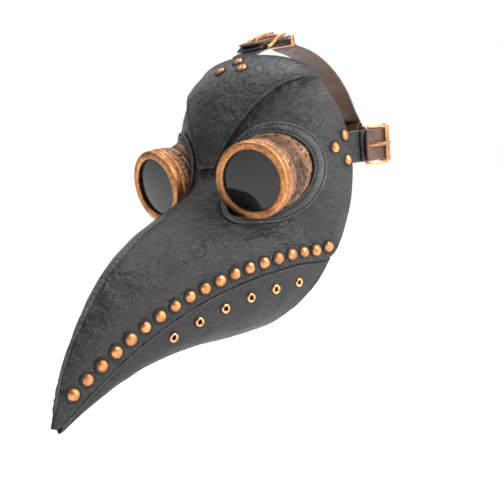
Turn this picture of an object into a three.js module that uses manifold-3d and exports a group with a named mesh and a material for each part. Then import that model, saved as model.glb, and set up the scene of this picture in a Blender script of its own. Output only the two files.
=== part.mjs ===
// A beaked "plague doctor" costume mask: a stitched leather shell with a long curved beak, two brass-
// look eye cups with screw-on bezels, rivets, eyelets, and a harness of three buckled straps.
//
// Millimetres, +Z up. The wearer looks along -Y and +X is the wearer's left. The origin is the centre
// of the face opening, level with the eyes and in the plane of the temples.
//
// The shell follows one smooth skin, skin(u, q). u runs from the crown (0) to the tip of the beak (1).
// q runs across: 0 is the ridge down the middle, 1 is the rim of the face opening and then the mouth
// seam, and 2 is the keel under the beak. Negative q is the other side. Every panel is a stretch of
// that skin, moved in or out by named thicknesses.
import * as THREE from "three";
import { mergeVertices } from "three/addons/utils/BufferGeometryUtils.js";
import Module from "manifold-3d";

// ---- Driving dimensions ----
const LEATHER = 2.5; // thickness of the shell panels
const CLEAR = 0.3; // gap kept between pieces that touch
const OVERLAP = 11; // how far a side panel runs under the forehead panel
const LAP = 4.5; // how far the jaw panel runs under the side panels
const WELD = 1e-3; // points closer than this are one point

// The skin's stations, crown to tip. ridge is [y, z] in the middle plane, edge is [x, y, z] on the
// wearer's left.
const STATIONS = [
  { name: "crown", ridge: [-33, 104], edge: [61, -14, 80], pinch: -0.06 },
  { name: "forehead", ridge: [-62, 82], edge: [71, -6, 60], pinch: -0.06 },
  { name: "brow", ridge: [-79, 50], edge: [78, -1, 33], pinch: -0.02 },
  { name: "bridge", ridge: [-86, 22], edge: [80, -2, 4], pinch: 0.1 },
  { name: "nose", ridge: [-94, 3], edge: [78, -9, -28], pinch: 0.35 },
  { name: "jaw", ridge: [-109, -6], edge: [69, -22, -60], keel: [-74, -118], pinch: 0.35 },
  { name: "cheek", ridge: [-133, -16], edge: [62, -62, -63], keel: [-98, -119], pinch: 0.25 },
  { name: "beak_root", ridge: [-164, -31], edge: [49, -104, -70], keel: [-130, -120], pinch: 0.1 },
  { name: "beak_third", ridge: [-196, -52], edge: [35, -146, -83], keel: [-162, -123], pinch: 0 },
  { name: "beak_middle", ridge: [-224, -81], edge: [22, -186, -102], keel: [-193, -130], pinch: -0.06 },
  { name: "beak_end", ridge: [-246, -114], edge: [11, -224, -127], keel: [-227, -143], pinch: -0.06 },
  { name: "tip", ridge: [-259, -150], edge: [2.5, -256, -152], keel: [-256, -157], pinch: -0.06 },
];
// A pinch of 0 is an ellipse; below 0 is fuller, above 0 narrows towards the ridge.
const KEEL_PINCH = -0.06;

// Eye cups, bezels and lenses. Lengths along a cup are measured back from its bezel's front face.
const EYE = { centre: [50, -98, 3], splay: 12, pitch: 11 };
const LENS = { radius: 26, thick: 2.4 };
const BEZEL = { radius: 30, window: 23.6, depth: 12, lip: 3 };
const GASKET = { radius: 26, window: 23.4, thick: 2 };
const CUP = { radius: 28.6, bore: 24, reach: 64, band: 29.6 };
const THREAD = { radius: 27.4 };
const EYE_HOLE = CUP.band + 2 * CLEAR; // radius of the hole in the panel
const PATCH = { width: 11, inner: 5, thick: 1.8, lift: 0.7 };
const RETAINER = { width: 7, thick: 1.6, drop: 1.6 };

// Fasteners
const RIVET = { radius: 4.6, height: 2.2, shank: 1.5, burr: 2.6 };
const MOUTH_RIVETS = { count: 19, fromSeam: 9.5, firstU: 0.455, lastU: 0.948 };
const BACKING = { width: 7, thick: 1.2 }; // the strip of leather behind the mouth rivets
const EYELET = { radius: 3.7, hole: 1.6, barrel: 2.2, height: 1.1 };
const MOUTH_EYELETS = { count: 6, fromSeam: 14.5, lastFromSeam: 11.5, firstU: 0.545, lastU: 0.785 };

// Harness. Heights on it are measured out from the head.
const STRAP = { width: 26, thick: 2 };
const TAB = { thick: 2, under: 28 };
const TAIL = 7; // how far a strap's end passes the heel bar
const BUCKLE = { length: 24, bar: 1.2, rail: 3, thick: 2.4, sideGap: 0.8, fromRim: 18 };
const FOLD = { wall: 1.4, length: 9 };
const PRONG = { width: 2.8, thick: 2, ring: 1.2 };
const KEEPER = { length: 5, wall: 1.4, at: 34 };
const HOLES = { count: 2, pitch: 12, radius: 1.6, first: 46 };
const HEAD = { y: 18, z: 28, halfWidth: 76, halfDepth: 104, height: 89, backRise: 12 };
const TEMPLE_Z = 26; // height of the side straps where they leave the mask

// ---- Solids ----
const wasm = await Module();
wasm.setup();

// A geometry's triangles as one solid whose faces point out.
function solidOf(geometry, matrix = new THREE.Matrix4()) {
  const loose = geometry.index ? geometry.toNonIndexed() : geometry;
  const bare = new THREE.BufferGeometry().setAttribute("position", loose.getAttribute("position").clone());
  const merged = mergeVertices(bare.applyMatrix4(matrix), WELD);
  const kept = [];
  for (let i = 0; i < merged.index.count; i += 3) {
    const [a, b, c] = merged.index.array.slice(i, i + 3);
    if (a !== b && b !== c && a !== c) kept.push(a, b, c);
  }
  const build = (tris) =>
    new wasm.Manifold(
      new wasm.Mesh({
        numProp: 3,
        vertProperties: merged.attributes.position.array,
        triVerts: new Uint32Array(tris),
      }),
    );
  const made = build(kept);
  return made.volume() > 0 ? made : build(kept.reverse());
}

function geometryOf(solid) {
  const mesh = solid.getMesh();
  return new THREE.BufferGeometry()
    .setAttribute("position", new THREE.BufferAttribute(mesh.vertProperties, 3))
    .setIndex(new THREE.BufferAttribute(mesh.triVerts, 1));
}

const joined = (solids) => solids.reduce((all, next) => all.add(next));

function fromTriangles(points, faces) {
  const flat = new Float32Array(points.flatMap((p) => [p.x, p.y, p.z]));
  return new THREE.BufferGeometry()
    .setAttribute("position", new THREE.BufferAttribute(flat, 3))
    .setIndex(faces);
}

// A sheet with thickness: two grids of points that face each other, closed all round.
function sheet(outer, inner) {
  const rows = outer.length;
  const columns = outer[0].length;
  const points = [...outer.flat(), ...inner.flat()];
  const top = (i, j) => i * columns + j;
  const under = (i, j) => rows * columns + top(i, j);
  const faces = [];
  const quad = (a, b, c, d) => faces.push(a, b, c, a, c, d);
  for (let i = 0; i < rows - 1; i++)
    for (let j = 0; j < columns - 1; j++) {
      quad(top(i, j), top(i, j + 1), top(i + 1, j + 1), top(i + 1, j));
      quad(under(i, j), under(i + 1, j), under(i + 1, j + 1), under(i, j + 1));
    }
  for (let j = 0; j < columns - 1; j++) {
    quad(top(0, j + 1), top(0, j), under(0, j), under(0, j + 1));
    quad(top(rows - 1, j), top(rows - 1, j + 1), under(rows - 1, j + 1), under(rows - 1, j));
  }
  for (let i = 0; i < rows - 1; i++) {
    quad(top(i, 0), top(i + 1, 0), under(i + 1, 0), under(i, 0));
    quad(top(i + 1, columns - 1), top(i, columns - 1), under(i, columns - 1), under(i + 1, columns - 1));
  }
  return solidOf(fromTriangles(points, faces));
}

// Closed rings of points joined one to the next, with a flat cap on each end, or the last joined to
// the first.
function loft(rings, endless = false) {
  const count = rings[0].length;
  const faces = [];
  const last = endless ? rings.length : rings.length - 1;
  for (let i = 0; i < last; i++)
    for (let j = 0; j < count; j++) {
      const a = i * count + j;
      const b = i * count + ((j + 1) % count);
      const c = ((i + 1) % rings.length) * count + ((j + 1) % count);
      const d = ((i + 1) % rings.length) * count + j;
      faces.push(a, b, c, a, c, d);
    }
  const end = (rings.length - 1) * count;
  if (!endless)
    for (let j = 1; j < count - 1; j++) faces.push(0, j + 1, j, end, end + j, end + j + 1);
  return solidOf(fromTriangles(rings.flat(), faces));
}

// A profile of [radius, height] points turned about +Z.
function turned(profile, segments, matrix) {
  const lathe = new THREE.LatheGeometry(profile.map(([r, h]) => new THREE.Vector2(r, h)), segments);
  return solidOf(lathe.rotateX(Math.PI / 2), matrix);
}

// A flat band swept along a path, with its width along the direction that across(i) gives.
function band(path, across, width, thick) {
  const rings = path.map((at, i) => {
    const before = path[Math.max(i - 1, 0)];
    const after = path[Math.min(i + 1, path.length - 1)];
    const along = after.clone().sub(before).normalize();
    const wide = across(i).clone();
    wide.addScaledVector(along, -wide.dot(along)).normalize();
    const up = wide.clone().cross(along);
    return [[1, 1], [-1, 1], [-1, -1], [1, -1]].map(([w, t]) =>
      at.clone().addScaledVector(wide, (w * width) / 2).addScaledVector(up, (t * thick) / 2),
    );
  });
  return loft(rings);
}

const vector = (a) => new THREE.Vector3(...a);
const smoothLine = (points) => new THREE.CatmullRomCurve3(points, false, "catmullrom", 0.5);
const steps = (from, to, count) =>
  Array.from({ length: count + 1 }, (_, i) => from + ((to - from) * i) / count);

// ---- The skin that all panels follow ----
const JAW = STATIONS.findIndex((s) => s.name === "jaw");
const LAST = STATIONS.length - 1;
const JAW_U = JAW / LAST;
const ridgeLine = smoothLine(STATIONS.map((s) => vector([0, ...s.ridge])));
const edgeLine = smoothLine(STATIONS.map((s) => vector(s.edge)));
const keelLine = smoothLine(STATIONS.slice(JAW).map((s) => vector([0, ...s.keel])));

const pinchLine = smoothLine(STATIONS.map((s) => vector([s.pinch, 0, 0])));

function skin(u, q) {
  const side = q < 0 ? -1 : 1;
  const across = Math.abs(q);
  const edge = edgeLine.getPoint(u);
  const under = across > 1;
  const alongKeel = Math.max((u - JAW_U) / (1 - JAW_U), 0);
  const middle = under ? keelLine.getPoint(alongKeel) : ridgeLine.getPoint(u);
  const angle = ((under ? 2 - across : across) * Math.PI) / 2;
  const pinch = under ? KEEL_PINCH : pinchLine.getPoint(u).x;
  const up = Math.cos(angle);
  const out = Math.sin(angle) * (1 - pinch * up * up);
  return new THREE.Vector3(
    side * edge.x * out,
    edge.y + (middle.y - edge.y) * up,
    edge.z + (middle.z - edge.z) * up,
  );
}

const TINY = 1e-3;
function slopes(u, q) {
  const u0 = Math.max(u - TINY, 0);
  const u1 = Math.min(u + TINY, 1);
  return {
    du: skin(u1, q).sub(skin(u0, q)).divideScalar(u1 - u0),
    dq: skin(u, q + TINY).sub(skin(u, q - TINY)).divideScalar(2 * TINY),
  };
}

function normalAt(u, q) {
  const { du, dq } = slopes(u, q);
  return du.cross(dq).normalize();
}

const offset = (u, q, height) => skin(u, q).addScaledVector(normalAt(u, q), height);

// Leather is skived thinner towards the tip of the beak.
const thin = (u) => THREE.MathUtils.clamp((1 - u) / 0.3, 0.4, 1);
const panelThick = (u) => LEATHER * thin(u);

// The place on the skin nearest a target point. With a line of sight, the place that lies on that line.
function settle(target, [u, q], sight = null) {
  for (let n = 0; n < 14; n++) {
    const { du, dq } = slopes(u, q);
    const gap = target.clone().sub(skin(u, q));
    if (sight) for (const v of [du, dq, gap]) v.addScaledVector(sight, -v.dot(sight));
    const [a, b, c] = [du.dot(du), du.dot(dq), dq.dot(dq)];
    const [d, e] = [gap.dot(du), gap.dot(dq)];
    const det = a * c - b * b;
    u = THREE.MathUtils.clamp(u + (c * d - b * e) / det, 0.001, 0.999);
    q += (a * e - b * d) / det;
  }
  return [u, q];
}

// A step over the skin from one place, in a direction that is first laid flat on it.
function walk([u, q], direction, distance) {
  const normal = normalAt(u, q);
  const flat = direction.clone().addScaledVector(normal, -direction.dot(normal)).normalize();
  return settle(skin(u, q).addScaledVector(flat, distance), [u, q]);
}

// Axes for a fastener: +Z out of the skin, +X along it.
function standing([u, q], height = 0) {
  const out = normalAt(u, q);
  const along = slopes(u, q).du.normalize();
  const across = out.clone().cross(along).normalize();
  return new THREE.Matrix4()
    .makeBasis(across.clone().cross(out), across, out)
    .setPosition(offset(u, q, height));
}

// ---- Shell panels ----
const PANEL_ROWS = 24;
const PANEL_COLUMNS = 9;
const FOREHEAD_END = 0.305; // u of the square end between the eyes
const NARROWING = 8.25; // how fast the forehead panel narrows
const foreheadEdge = (u) => 0.97 * Math.exp(-NARROWING * u);
const FOREHEAD_LIFT = LEATHER + CLEAR;

const panelGrid = (us, qsOf, height) =>
  us.map((u) =>
    qsOf(u).map((q) => {
      const p = offset(u, q, height(u));
      p.x = q > 0 ? Math.max(p.x, CLEAR / 2) : p.x;
      return p;
    }),
  );

function sidePanel() {
  const edgeWidth = (u) => (edgeLine.getPoint(u).x * Math.PI) / 2;
  const inner = (u) => {
    const under = foreheadEdge(u) - OVERLAP / edgeWidth(u);
    return u < FOREHEAD_END ? Math.max(under, 0.002) : 0.002;
  };
  const us = steps(0, 1, PANEL_ROWS);
  const qs = (u) => steps(inner(u), 1, PANEL_COLUMNS);
  return sheet(panelGrid(us, qs, () => 0), panelGrid(us, qs, (u) => -panelThick(u)));
}

function foreheadPanel() {
  const us = steps(0, FOREHEAD_END, 9);
  const qs = (u) => steps(-foreheadEdge(u), foreheadEdge(u), 12);
  const grid = (height) => us.map((u) => qs(u).map((q) => offset(u, q, height)));
  return sheet(grid(FOREHEAD_LIFT + LEATHER), grid(FOREHEAD_LIFT));
}

const JAW_END = 0.93; // the jaw panel stops short of the hooked tip
const jawTop = (u) => -(panelThick(u) + 3 * CLEAR);
const jawUnder = (u) => jawTop(u) - panelThick(u);
function jawPanel() {
  const us = steps(JAW_U + 0.004, JAW_END, 16);
  const flange = (u) => 1 - flangeWidth(u);
  const qs = (u) => [
    ...steps(-flange(u), -1, 1),
    ...steps(-1, -2, 6).slice(1),
    ...steps(2, 1, 6).slice(1),
    ...steps(1, flange(u), 1).slice(1),
  ];
  const grid = (height) => us.map((u) => qs(u).map((q) => jawPoint(u, q, height(u))));
  return sheet(grid(jawTop), grid(jawUnder));
}

// How much of q the hidden flange takes, so that it is LAP wide at every station.
const flangeWidth = (u) => Math.min(LAP / slopes(u, 0.97).dq.length(), 0.2);

function jawPoint(u, q, height) {
  const p = offset(u, q, height);
  if (Math.abs(q) > 1.999) p.x = 0;
  return p;
}

// The raised edge where the two sides are sewn together, down the front of the beak.
function ridgeBinding() {
  const us = steps(0.56, 0.985, 20);
  const halfWidth = 1.5;
  const height = 1.7;
  const rings = us.map((u) => {
    const foot = offset(u, 0, CLEAR);
    const out = normalAt(u, 0);
    const corner = (x, up) => new THREE.Vector3(x, foot.y + out.y * up, foot.z + out.z * up);
    const corners = [[1, 0], [1, height], [-1, height], [-1, 0]];
    return corners.map(([side, up]) => corner(side * halfWidth, up));
  });
  return loft(rings);
}

// The space inside the shell, which trims what pokes through it.
function hollow(depth) {
  const rings = steps(0, 0.8, 30).map((u) => steps(-1, 1, 24).map((q) => offset(u, q, -depth)));
  return loft(rings);
}

// ---- Eyes ----
const degrees = THREE.MathUtils.degToRad;
const eyeOut = new THREE.Vector3(
  Math.sin(degrees(EYE.splay)) * Math.cos(degrees(EYE.pitch)),
  -Math.cos(degrees(EYE.splay)) * Math.cos(degrees(EYE.pitch)),
  -Math.sin(degrees(EYE.pitch)),
);
const eyeAcross = new THREE.Vector3(0, 0, 1).cross(eyeOut).normalize();
const eyeUp = eyeOut.clone().cross(eyeAcross);
const eyePlace = new THREE.Matrix4().makeBasis(eyeAcross, eyeUp, eyeOut).setPosition(vector(EYE.centre));
const EYE_SEGMENTS = 20;
const FLATS = 1 / Math.cos(Math.PI / EYE_SEGMENTS); // keeps a hole's flat sides clear of what turns in it

const LENS_FRONT = -BEZEL.lip - CLEAR;
const GASKET_FRONT = LENS_FRONT - LENS.thick - CLEAR;
const CUP_FRONT = GASKET_FRONT - GASKET.thick - CLEAR;

// The ring you turn: a lip in front of the lens and a skirt that screws on to the cup.
function bezel() {
  const bore = (THREAD.radius + CLEAR) * FLATS;
  return turned(
    [
      [BEZEL.window, -BEZEL.lip],
      [BEZEL.window, -0.8],
      [BEZEL.window + 0.8, 0],
      [BEZEL.radius - 1.4, 0],
      [BEZEL.radius, -1.4],
      [BEZEL.radius, -6.2],
      [BEZEL.radius - 0.7, -6.9],
      [BEZEL.radius - 0.7, -7.9],
      [BEZEL.radius, -8.6],
      [BEZEL.radius, -BEZEL.depth],
      [bore, -BEZEL.depth],
      [bore, -BEZEL.lip],
      [BEZEL.window, -BEZEL.lip],
    ],
    EYE_SEGMENTS,
    eyePlace,
  );
}

const ring = (outer, inner, front, thick) =>
  turned([[inner, front], [outer, front], [outer, front - thick], [inner, front - thick], [inner, front]],
    EYE_SEGMENTS, eyePlace);

const lens = () =>
  turned([[0, LENS_FRONT], [LENS.radius, LENS_FRONT], [LENS.radius, LENS_FRONT - LENS.thick],
    [0, LENS_FRONT - LENS.thick]], EYE_SEGMENTS, eyePlace);

const gasket = () => ring(GASKET.radius, GASKET.window, GASKET_FRONT, GASKET.thick);

// The tube: thread, shoulder band, groove and body, trimmed to the inside of the shell.
function eyeCup() {
  const shoulder = -BEZEL.depth - CLEAR;
  const tube = turned(
    [
      [CUP.bore, CUP_FRONT],
      [THREAD.radius, CUP_FRONT],
      [THREAD.radius, shoulder],
      [CUP.band, shoulder],
      [CUP.band, shoulder - 4.5],
      [CUP.radius - 1, shoulder - 5.5],
      [CUP.radius - 1, shoulder - 7],
      [CUP.radius + 0.2, shoulder - 8],
      [CUP.radius - 0.8, shoulder - 13],
      [CUP.radius + 0.4, -36],
      [CUP.band, -CUP.reach],
      [CUP.bore, -CUP.reach],
      [CUP.bore, CUP_FRONT],
    ],
    EYE_SEGMENTS,
    eyePlace,
  );
  return tube.subtract(hollow(LEATHER + RETAINER.thick + 2));
}

const eyeHole = (radius) => {
  const front = 30;
  const back = -CUP.reach - 20;
  const wide = radius * FLATS;
  return turned([[0, front], [wide, front], [wide, back], [0, back]], EYE_SEGMENTS, eyePlace);
};

// Rings of places on the skin round an eye: the first on a tube of that radius, the rest stepped
// outwards. The ring is narrower on the side of the nose.
function ringsRound(radius, width, inner, count, segments) {
  const centre = vector(EYE.centre);
  let guess = [0.3, 0.45];
  const first = steps(0, 2 * Math.PI, segments).slice(0, segments).map((angle) => {
    const target = centre.clone()
      .addScaledVector(eyeAcross, radius * Math.cos(angle))
      .addScaledVector(eyeUp, radius * Math.sin(angle));
    guess = settle(target, guess, eyeOut);
    return guess;
  });
  const rings = [first];
  for (let k = 0; k < count; k++) {
    const from = rings[k];
    rings.push(
      from.map((place, i) => {
        const next = skin(...from[(i + 1) % segments]);
        const before = skin(...from[(i + segments - 1) % segments]);
        const outwards = normalAt(...place).cross(next.sub(before)).negate();
        const towardsCheek = 0.5 + 0.5 * Math.cos((2 * Math.PI * i) / segments);
        return walk(place, outwards, THREE.MathUtils.lerp(inner, width, towardsCheek) / count);
      }),
    );
  }
  return rings;
}

// A ring of leather that hugs the skin round an eye, from one height to another.
function huggingRing(radius, [width, inner], low, high, segments) {
  const places = ringsRound(radius, width, inner, 3, segments);
  const closedRings = steps(0, segments - 1, segments - 1).map((i) => {
    const outer = places.map((ringPlaces) => offset(...ringPlaces[i], high));
    const inner = places.map((ringPlaces) => offset(...ringPlaces[i], low));
    return [...outer, ...inner.reverse()];
  });
  return loft(closedRings, true);
}

const eyePatch = () => {
  const low = PATCH.lift;
  return huggingRing(EYE_HOLE + 0.2, [PATCH.width, PATCH.inner], low, low + PATCH.thick, 20)
    .subtract(eyeHole(BEZEL.radius + CLEAR));
};
const eyeRetainer = () => {
  const top = -(LEATHER + RETAINER.drop);
  return huggingRing(CUP.band + 0.5, [RETAINER.width, RETAINER.width], top - RETAINER.thick, top, 20)
    .subtract(eyeHole(CUP.band + CLEAR));
};

// ---- Fasteners ----
const RIVET_SEGMENTS = 6;
function rivet(place, depth, lift = 0, burr = RIVET.burr) {
  const foot = CLEAR + lift;
  return turned(
    [
      [0, foot + RIVET.height],
      [RIVET.radius * 0.7, foot + RIVET.height * 0.7],
      [RIVET.radius, foot],
      [RIVET.shank, foot],
      [RIVET.shank, -depth],
      [burr, -depth],
      [0, -depth - (burr > RIVET.shank ? 0.8 : 0)],
    ],
    RIVET_SEGMENTS,
    standing(place),
  );
}

const drill = (place, radius, from = -14, to = 14) =>
  turned([[0, to], [radius, to], [radius, from], [0, from]], RIVET_SEGMENTS, standing(place));

// Places spread evenly along the mouth seam, a fixed distance to one side of it.
function alongSeam({ count, fromSeam, lastFromSeam = fromSeam, firstU, lastU }, towards) {
  const samples = steps(firstU, lastU, 120).map((u) => {
    const apart = THREE.MathUtils.mapLinear(u, firstU, lastU, fromSeam, lastFromSeam);
    const along = slopes(u, towards).du.normalize();
    const away = normalAt(u, towards).cross(along);
    if (towards < 1) away.negate();
    return walk([u, towards], away, apart);
  });
  const points = samples.map((place) => skin(...place));
  const lengths = [0];
  points.slice(1).forEach((p, i) => lengths.push(lengths[i] + p.distanceTo(points[i])));
  return steps(0, lengths.at(-1), count - 1).map((length) => {
    const i = Math.max(1, lengths.findIndex((l) => l >= length - WELD));
    const share = (length - lengths[i - 1]) / (lengths[i] - lengths[i - 1]);
    return [0, 1].map((k) => THREE.MathUtils.lerp(samples[i - 1][k], samples[i][k], share));
  });
}

const mouthRivetPlaces = alongSeam(MOUTH_RIVETS, 0.999);
const eyeletPlaces = alongSeam(MOUTH_EYELETS, 1.001);

const backingDepth = (u) => panelThick(u) + 3 * CLEAR + BACKING.thick / 2;

// One side's row of rivets, clinched on to the strip of leather that backs them.
function mouthRivets() {
  const caps = mouthRivetPlaces.map((place) => rivet(place, backingDepth(place[0]), 0, RIVET.shank));
  const path = mouthRivetPlaces.map((place) => offset(...place, -backingDepth(place[0])));
  const across = (i) => {
    const place = mouthRivetPlaces[i];
    return normalAt(...place).cross(slopes(...place).du);
  };
  return joined([band(path, across, BACKING.width, BACKING.thick), ...caps]);
}

function eyelet(place) {
  const top = jawTop(place[0]) + 3 * CLEAR;
  const back = jawUnder(place[0]) - 2 * CLEAR;
  return turned(
    [
      [EYELET.hole, top + EYELET.height],
      [EYELET.radius - 0.8, top + EYELET.height],
      [EYELET.radius, top],
      [EYELET.barrel, top],
      [EYELET.barrel, back],
      [EYELET.radius - 0.8, back],
      [EYELET.hole, back - 0.6],
      [EYELET.hole, top + EYELET.height],
    ],
    8,
    standing(place),
  );
}

const TEMPLE_RIVETS = [[-8, 10], [-22, 0], [-8, -10]]; // [y, height from the strap's middle]
const CROWN_RIVETS = [[0, 8], [11, 20], [-11, 20]]; // [x, distance from the rim]
const TEMPLE_GUESS = [0.22, 0.9]; // roughly where the temple is on the skin
const atTemple = (y, z) => settle(new THREE.Vector3(80, y, TEMPLE_Z + z), TEMPLE_GUESS);
const templePlaces = TEMPLE_RIVETS.map(([y, z]) => atTemple(y, z));
const crownPlaces = CROWN_RIVETS.map(([x, fromRim]) => {
  const [u] = walk([0.002, 0], slopes(0.002, 0).du, fromRim);
  return walk([u, 0], new THREE.Vector3(1, 0, 0), x || WELD);
});

// ---- Harness ----
// A line over the head. At a distance s from the buckle's heel bar, towards the mask, it gives a point
// on the head and three directions: along the line to the mask, out from the head, and across.
function overHead(points, across) {
  const curve = smoothLine(points);
  const length = curve.getLength();
  const wide = across.clone().negate();
  const frame = (s) => {
    const share = THREE.MathUtils.clamp((BUCKLE.fromRim - s) / length, 0, 1);
    const along = curve.getTangentAt(share).negate();
    const out = wide.clone().cross(along).normalize();
    return { at: curve.getPointAt(share), along, out, wide };
  };
  return { frame, end: BUCKLE.fromRim - length };
}

const lift = ({ at, out, wide }, w, n) => at.clone().addScaledVector(wide, w).addScaledVector(out, n);

// The head's outline, from the rim of the mask round to the middle of the back.
const startAngle = (y) => Math.acos((HEAD.y - y) / HEAD.halfDepth);
const sideLine = overHead(
  steps(startAngle(4), Math.PI + 0.005, 24).map((angle) => {
    const share = (angle - startAngle(4)) / (Math.PI - startAngle(4));
    return new THREE.Vector3(
      HEAD.halfWidth * Math.sin(angle),
      HEAD.y - HEAD.halfDepth * Math.cos(angle),
      TEMPLE_Z + HEAD.backRise * share,
    );
  }),
  new THREE.Vector3(0, 0, -1),
);
const backZ = TEMPLE_Z + HEAD.backRise;
const topLine = overHead(
  [
    ...steps(startAngle(-34), Math.PI * 0.86, 24).map(
      (angle) =>
        new THREE.Vector3(
          0,
          HEAD.y - HEAD.halfDepth * Math.cos(angle),
          HEAD.z + HEAD.height * Math.sin(angle),
        ),
    ),
    new THREE.Vector3(0, HEAD.y + HEAD.halfDepth, backZ + STRAP.width / 2 + 2.6),
  ],
  new THREE.Vector3(1, 0, 0),
);

// A shape drawn in (distance, height) and given width across the line, in the buckle's own straight axes.
function plate(line, outline, width, { holes = [], s = 0, middle = 0 } = {}) {
  const { at, along, out, wide } = line.frame(s);
  const shape = new THREE.Shape(outline.map(([x, y]) => new THREE.Vector2(x, y)));
  shape.holes = holes.map((hole) => new THREE.Path(hole.map(([x, y]) => new THREE.Vector2(x, y))));
  const geometry = new THREE.ExtrudeGeometry(shape, { depth: width, bevelEnabled: false });
  const axes = new THREE.Matrix4().makeBasis(along, out, along.clone().cross(out)).setPosition(at);
  return solidOf(geometry.translate(0, 0, middle - width / 2), axes);
}

const arc = (x, y, radius, from, to, count) =>
  steps(degrees(from), degrees(to), count).map((a) => [x + radius * Math.cos(a), y + radius * Math.sin(a)]);
const rectangle = (s0, s1, n0, n1) => [[s0, n0], [s1, n0], [s1, n1], [s0, n1]];

const BAR_N = TAB.thick - 0.4 + CLEAR + BUCKLE.bar; // height of the heel bar
const FOLD_RADIUS = BUCKLE.bar + CLEAR + FOLD.wall;
const STRAP_HIGH = BAR_N + FOLD_RADIUS + CLEAR; // height of the strap's underside over the fold
const RAIL_N = STRAP_HIGH + STRAP.thick + CLEAR + BUCKLE.thick / 2;

// Height of the strap's underside: it climbs from the head, passes under the far rail and lies over
// the tab's fold.
const strapHeight = (s) =>
  STRAP_HIGH * THREE.MathUtils.smoothstep(s, -BUCKLE.length - 22, -BUCKLE.length - 2);

// A tab: under the mask's panel, out past its rim, and folded round the heel bar.
const TAB_COLUMNS = 2;
function tab(line, skinRow, skinSteps) {
  const rows = skinSteps.map(skinRow);
  for (const s of steps(BUCKLE.fromRim - 2, FOLD.length - 1, 3)) {
    const at = line.frame(s);
    const row = (n) => steps(1, -1, TAB_COLUMNS).map((w) => lift(at, (w * STRAP.width) / 2, n));
    rows.push([row(TAB.thick), row(0)]);
  }
  return sheet(rows.map((row) => row[0]), rows.map((row) => row[1])).add(foldedEnd(line));
}

// A hole for the prong, spare ones further along the strap.
const strapHole = (line, s) => {
  const { at, along, out, wide } = line.frame(s);
  const axes = new THREE.Matrix4().makeBasis(wide.clone(), along, out).setPosition(at);
  return turned([[0, 12], [HOLES.radius, 12], [HOLES.radius, -4], [0, -4]], 8, axes);
};

const wrap = (values) => values.map((w) => w * STRAP.width * 0.5);
function sideSkinRow(y) {
  const row = (height) =>
    wrap(steps(1, -1, TAB_COLUMNS)).map((w) => {
      return offset(...atTemple(y, w), height);
    });
  const top = -(LEATHER + CLEAR);
  return [row(top), row(top - TAB.thick)];
}

function topSkinRow(fromRim) {
  const row = (height) =>
    wrap(steps(-1, 1, TAB_COLUMNS)).map((w) => {
      const [u] = walk([0.002, 0], slopes(0.002, 0).du, fromRim);
      return offset(...walk([u, 0], new THREE.Vector3(1, 0, 0), w || WELD), height);
    });
  const top = FOREHEAD_LIFT - 3 * CLEAR;
  return [row(top), row(top - TAB.thick)];
}

const sideTab = () => tab(sideLine, sideSkinRow, steps(-TAB.under, -3, 5));
const topTab = () => tab(topLine, topSkinRow, steps(TAB.under, 1, 5));

// The folded end of a strap, with a bore for the heel bar and a slot for the prong.
function foldedEnd(line) {
  const outline = [
    [FOLD.length, -0.2],
    [FOLD.length, TAB.thick],
    [FOLD.length - 2, BAR_N + FOLD_RADIUS - 0.6],
    ...arc(0, BAR_N, FOLD_RADIUS, 90, 270, 8),
  ];
  const bore = arc(0, BAR_N, BUCKLE.bar + CLEAR, 0, 330, 11);
  const fold = plate(line, outline, STRAP.width, { holes: [bore] });
  return fold.subtract(plate(line, rectangle(-6, 5, -3, 12), PRONG.width + 2 * CLEAR));
}

// A strap from its far end to its tail, which passes under the buckle's far rail and over the heel bar.
function strapRun(line, count) {
  const climb = [...[22, 15, 9, 2].map((before) => -BUCKLE.length - before), -12, 0, TAIL - 3, TAIL];
  const rows = [...steps(line.end, climb[0], count).slice(0, -1), ...climb].map((s) => {
    const half = (STRAP.width / 2) * (s === TAIL ? 0.6 : 1);
    const at = line.frame(s);
    const row = (n) => [-half, 0, half].map((w) => lift(at, w, n));
    return [row(strapHeight(s) + STRAP.thick), row(strapHeight(s))];
  });
  const slot = plate(line, rectangle(-10, 3, STRAP_HIGH - 1, RAIL_N), PRONG.width + 2 * CLEAR + 0.4);
  const spare = steps(0, HOLES.count - 1, HOLES.count - 1).map((i) => {
    return strapHole(line, -HOLES.first - i * HOLES.pitch);
  });
  const run = sheet(rows.map((row) => row[0]), rows.map((row) => row[1]));
  return run.subtract(slot).subtract(joined(spare));
}

function backStrap() {
  const half = strapRun(sideLine, 11);
  return half.add(mirrored(half));
}

const topStrap = () => strapRun(topLine, 10).add(strapLoop());

// The loop at the end of the top strap, which the back strap runs through.
function strapLoop() {
  const y = HEAD.y + HEAD.halfDepth;
  const room = { in: -2.6, out: STRAP.thick + 0.6 };
  const half = STRAP.width / 2 + 1.8;
  const wall = STRAP.thick;
  const box = (length, grow) => {
    const depth = room.out - room.in + 2 * grow;
    const shape = new THREE.BoxGeometry(length, depth, 2 * (half + grow));
    return solidOf(shape.translate(0, y + (room.in + room.out) / 2, backZ));
  };
  return box(STRAP.width, wall).subtract(box(STRAP.width + 4, 0));
}

// A metal loop round the strap, beyond the buckle.
function keeper(line) {
  const half = STRAP.width / 2 + 0.6;
  const s = -KEEPER.at;
  const low = Math.min(strapHeight(s), strapHeight(s - KEEPER.length / 2)) - 0.8;
  const high = strapHeight(s + KEEPER.length / 2) + STRAP.thick + 0.8;
  const reach = KEEPER.length / 2;
  const inside = rectangle(-reach - 1, reach + 1, low, high);
  const outside = rectangle(-reach, reach, low - KEEPER.wall, high + KEEPER.wall);
  const solid = plate(line, outside, 2 * (half + KEEPER.wall), { s });
  return solid.subtract(plate(line, inside, 2 * half, { s }));
}

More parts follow.
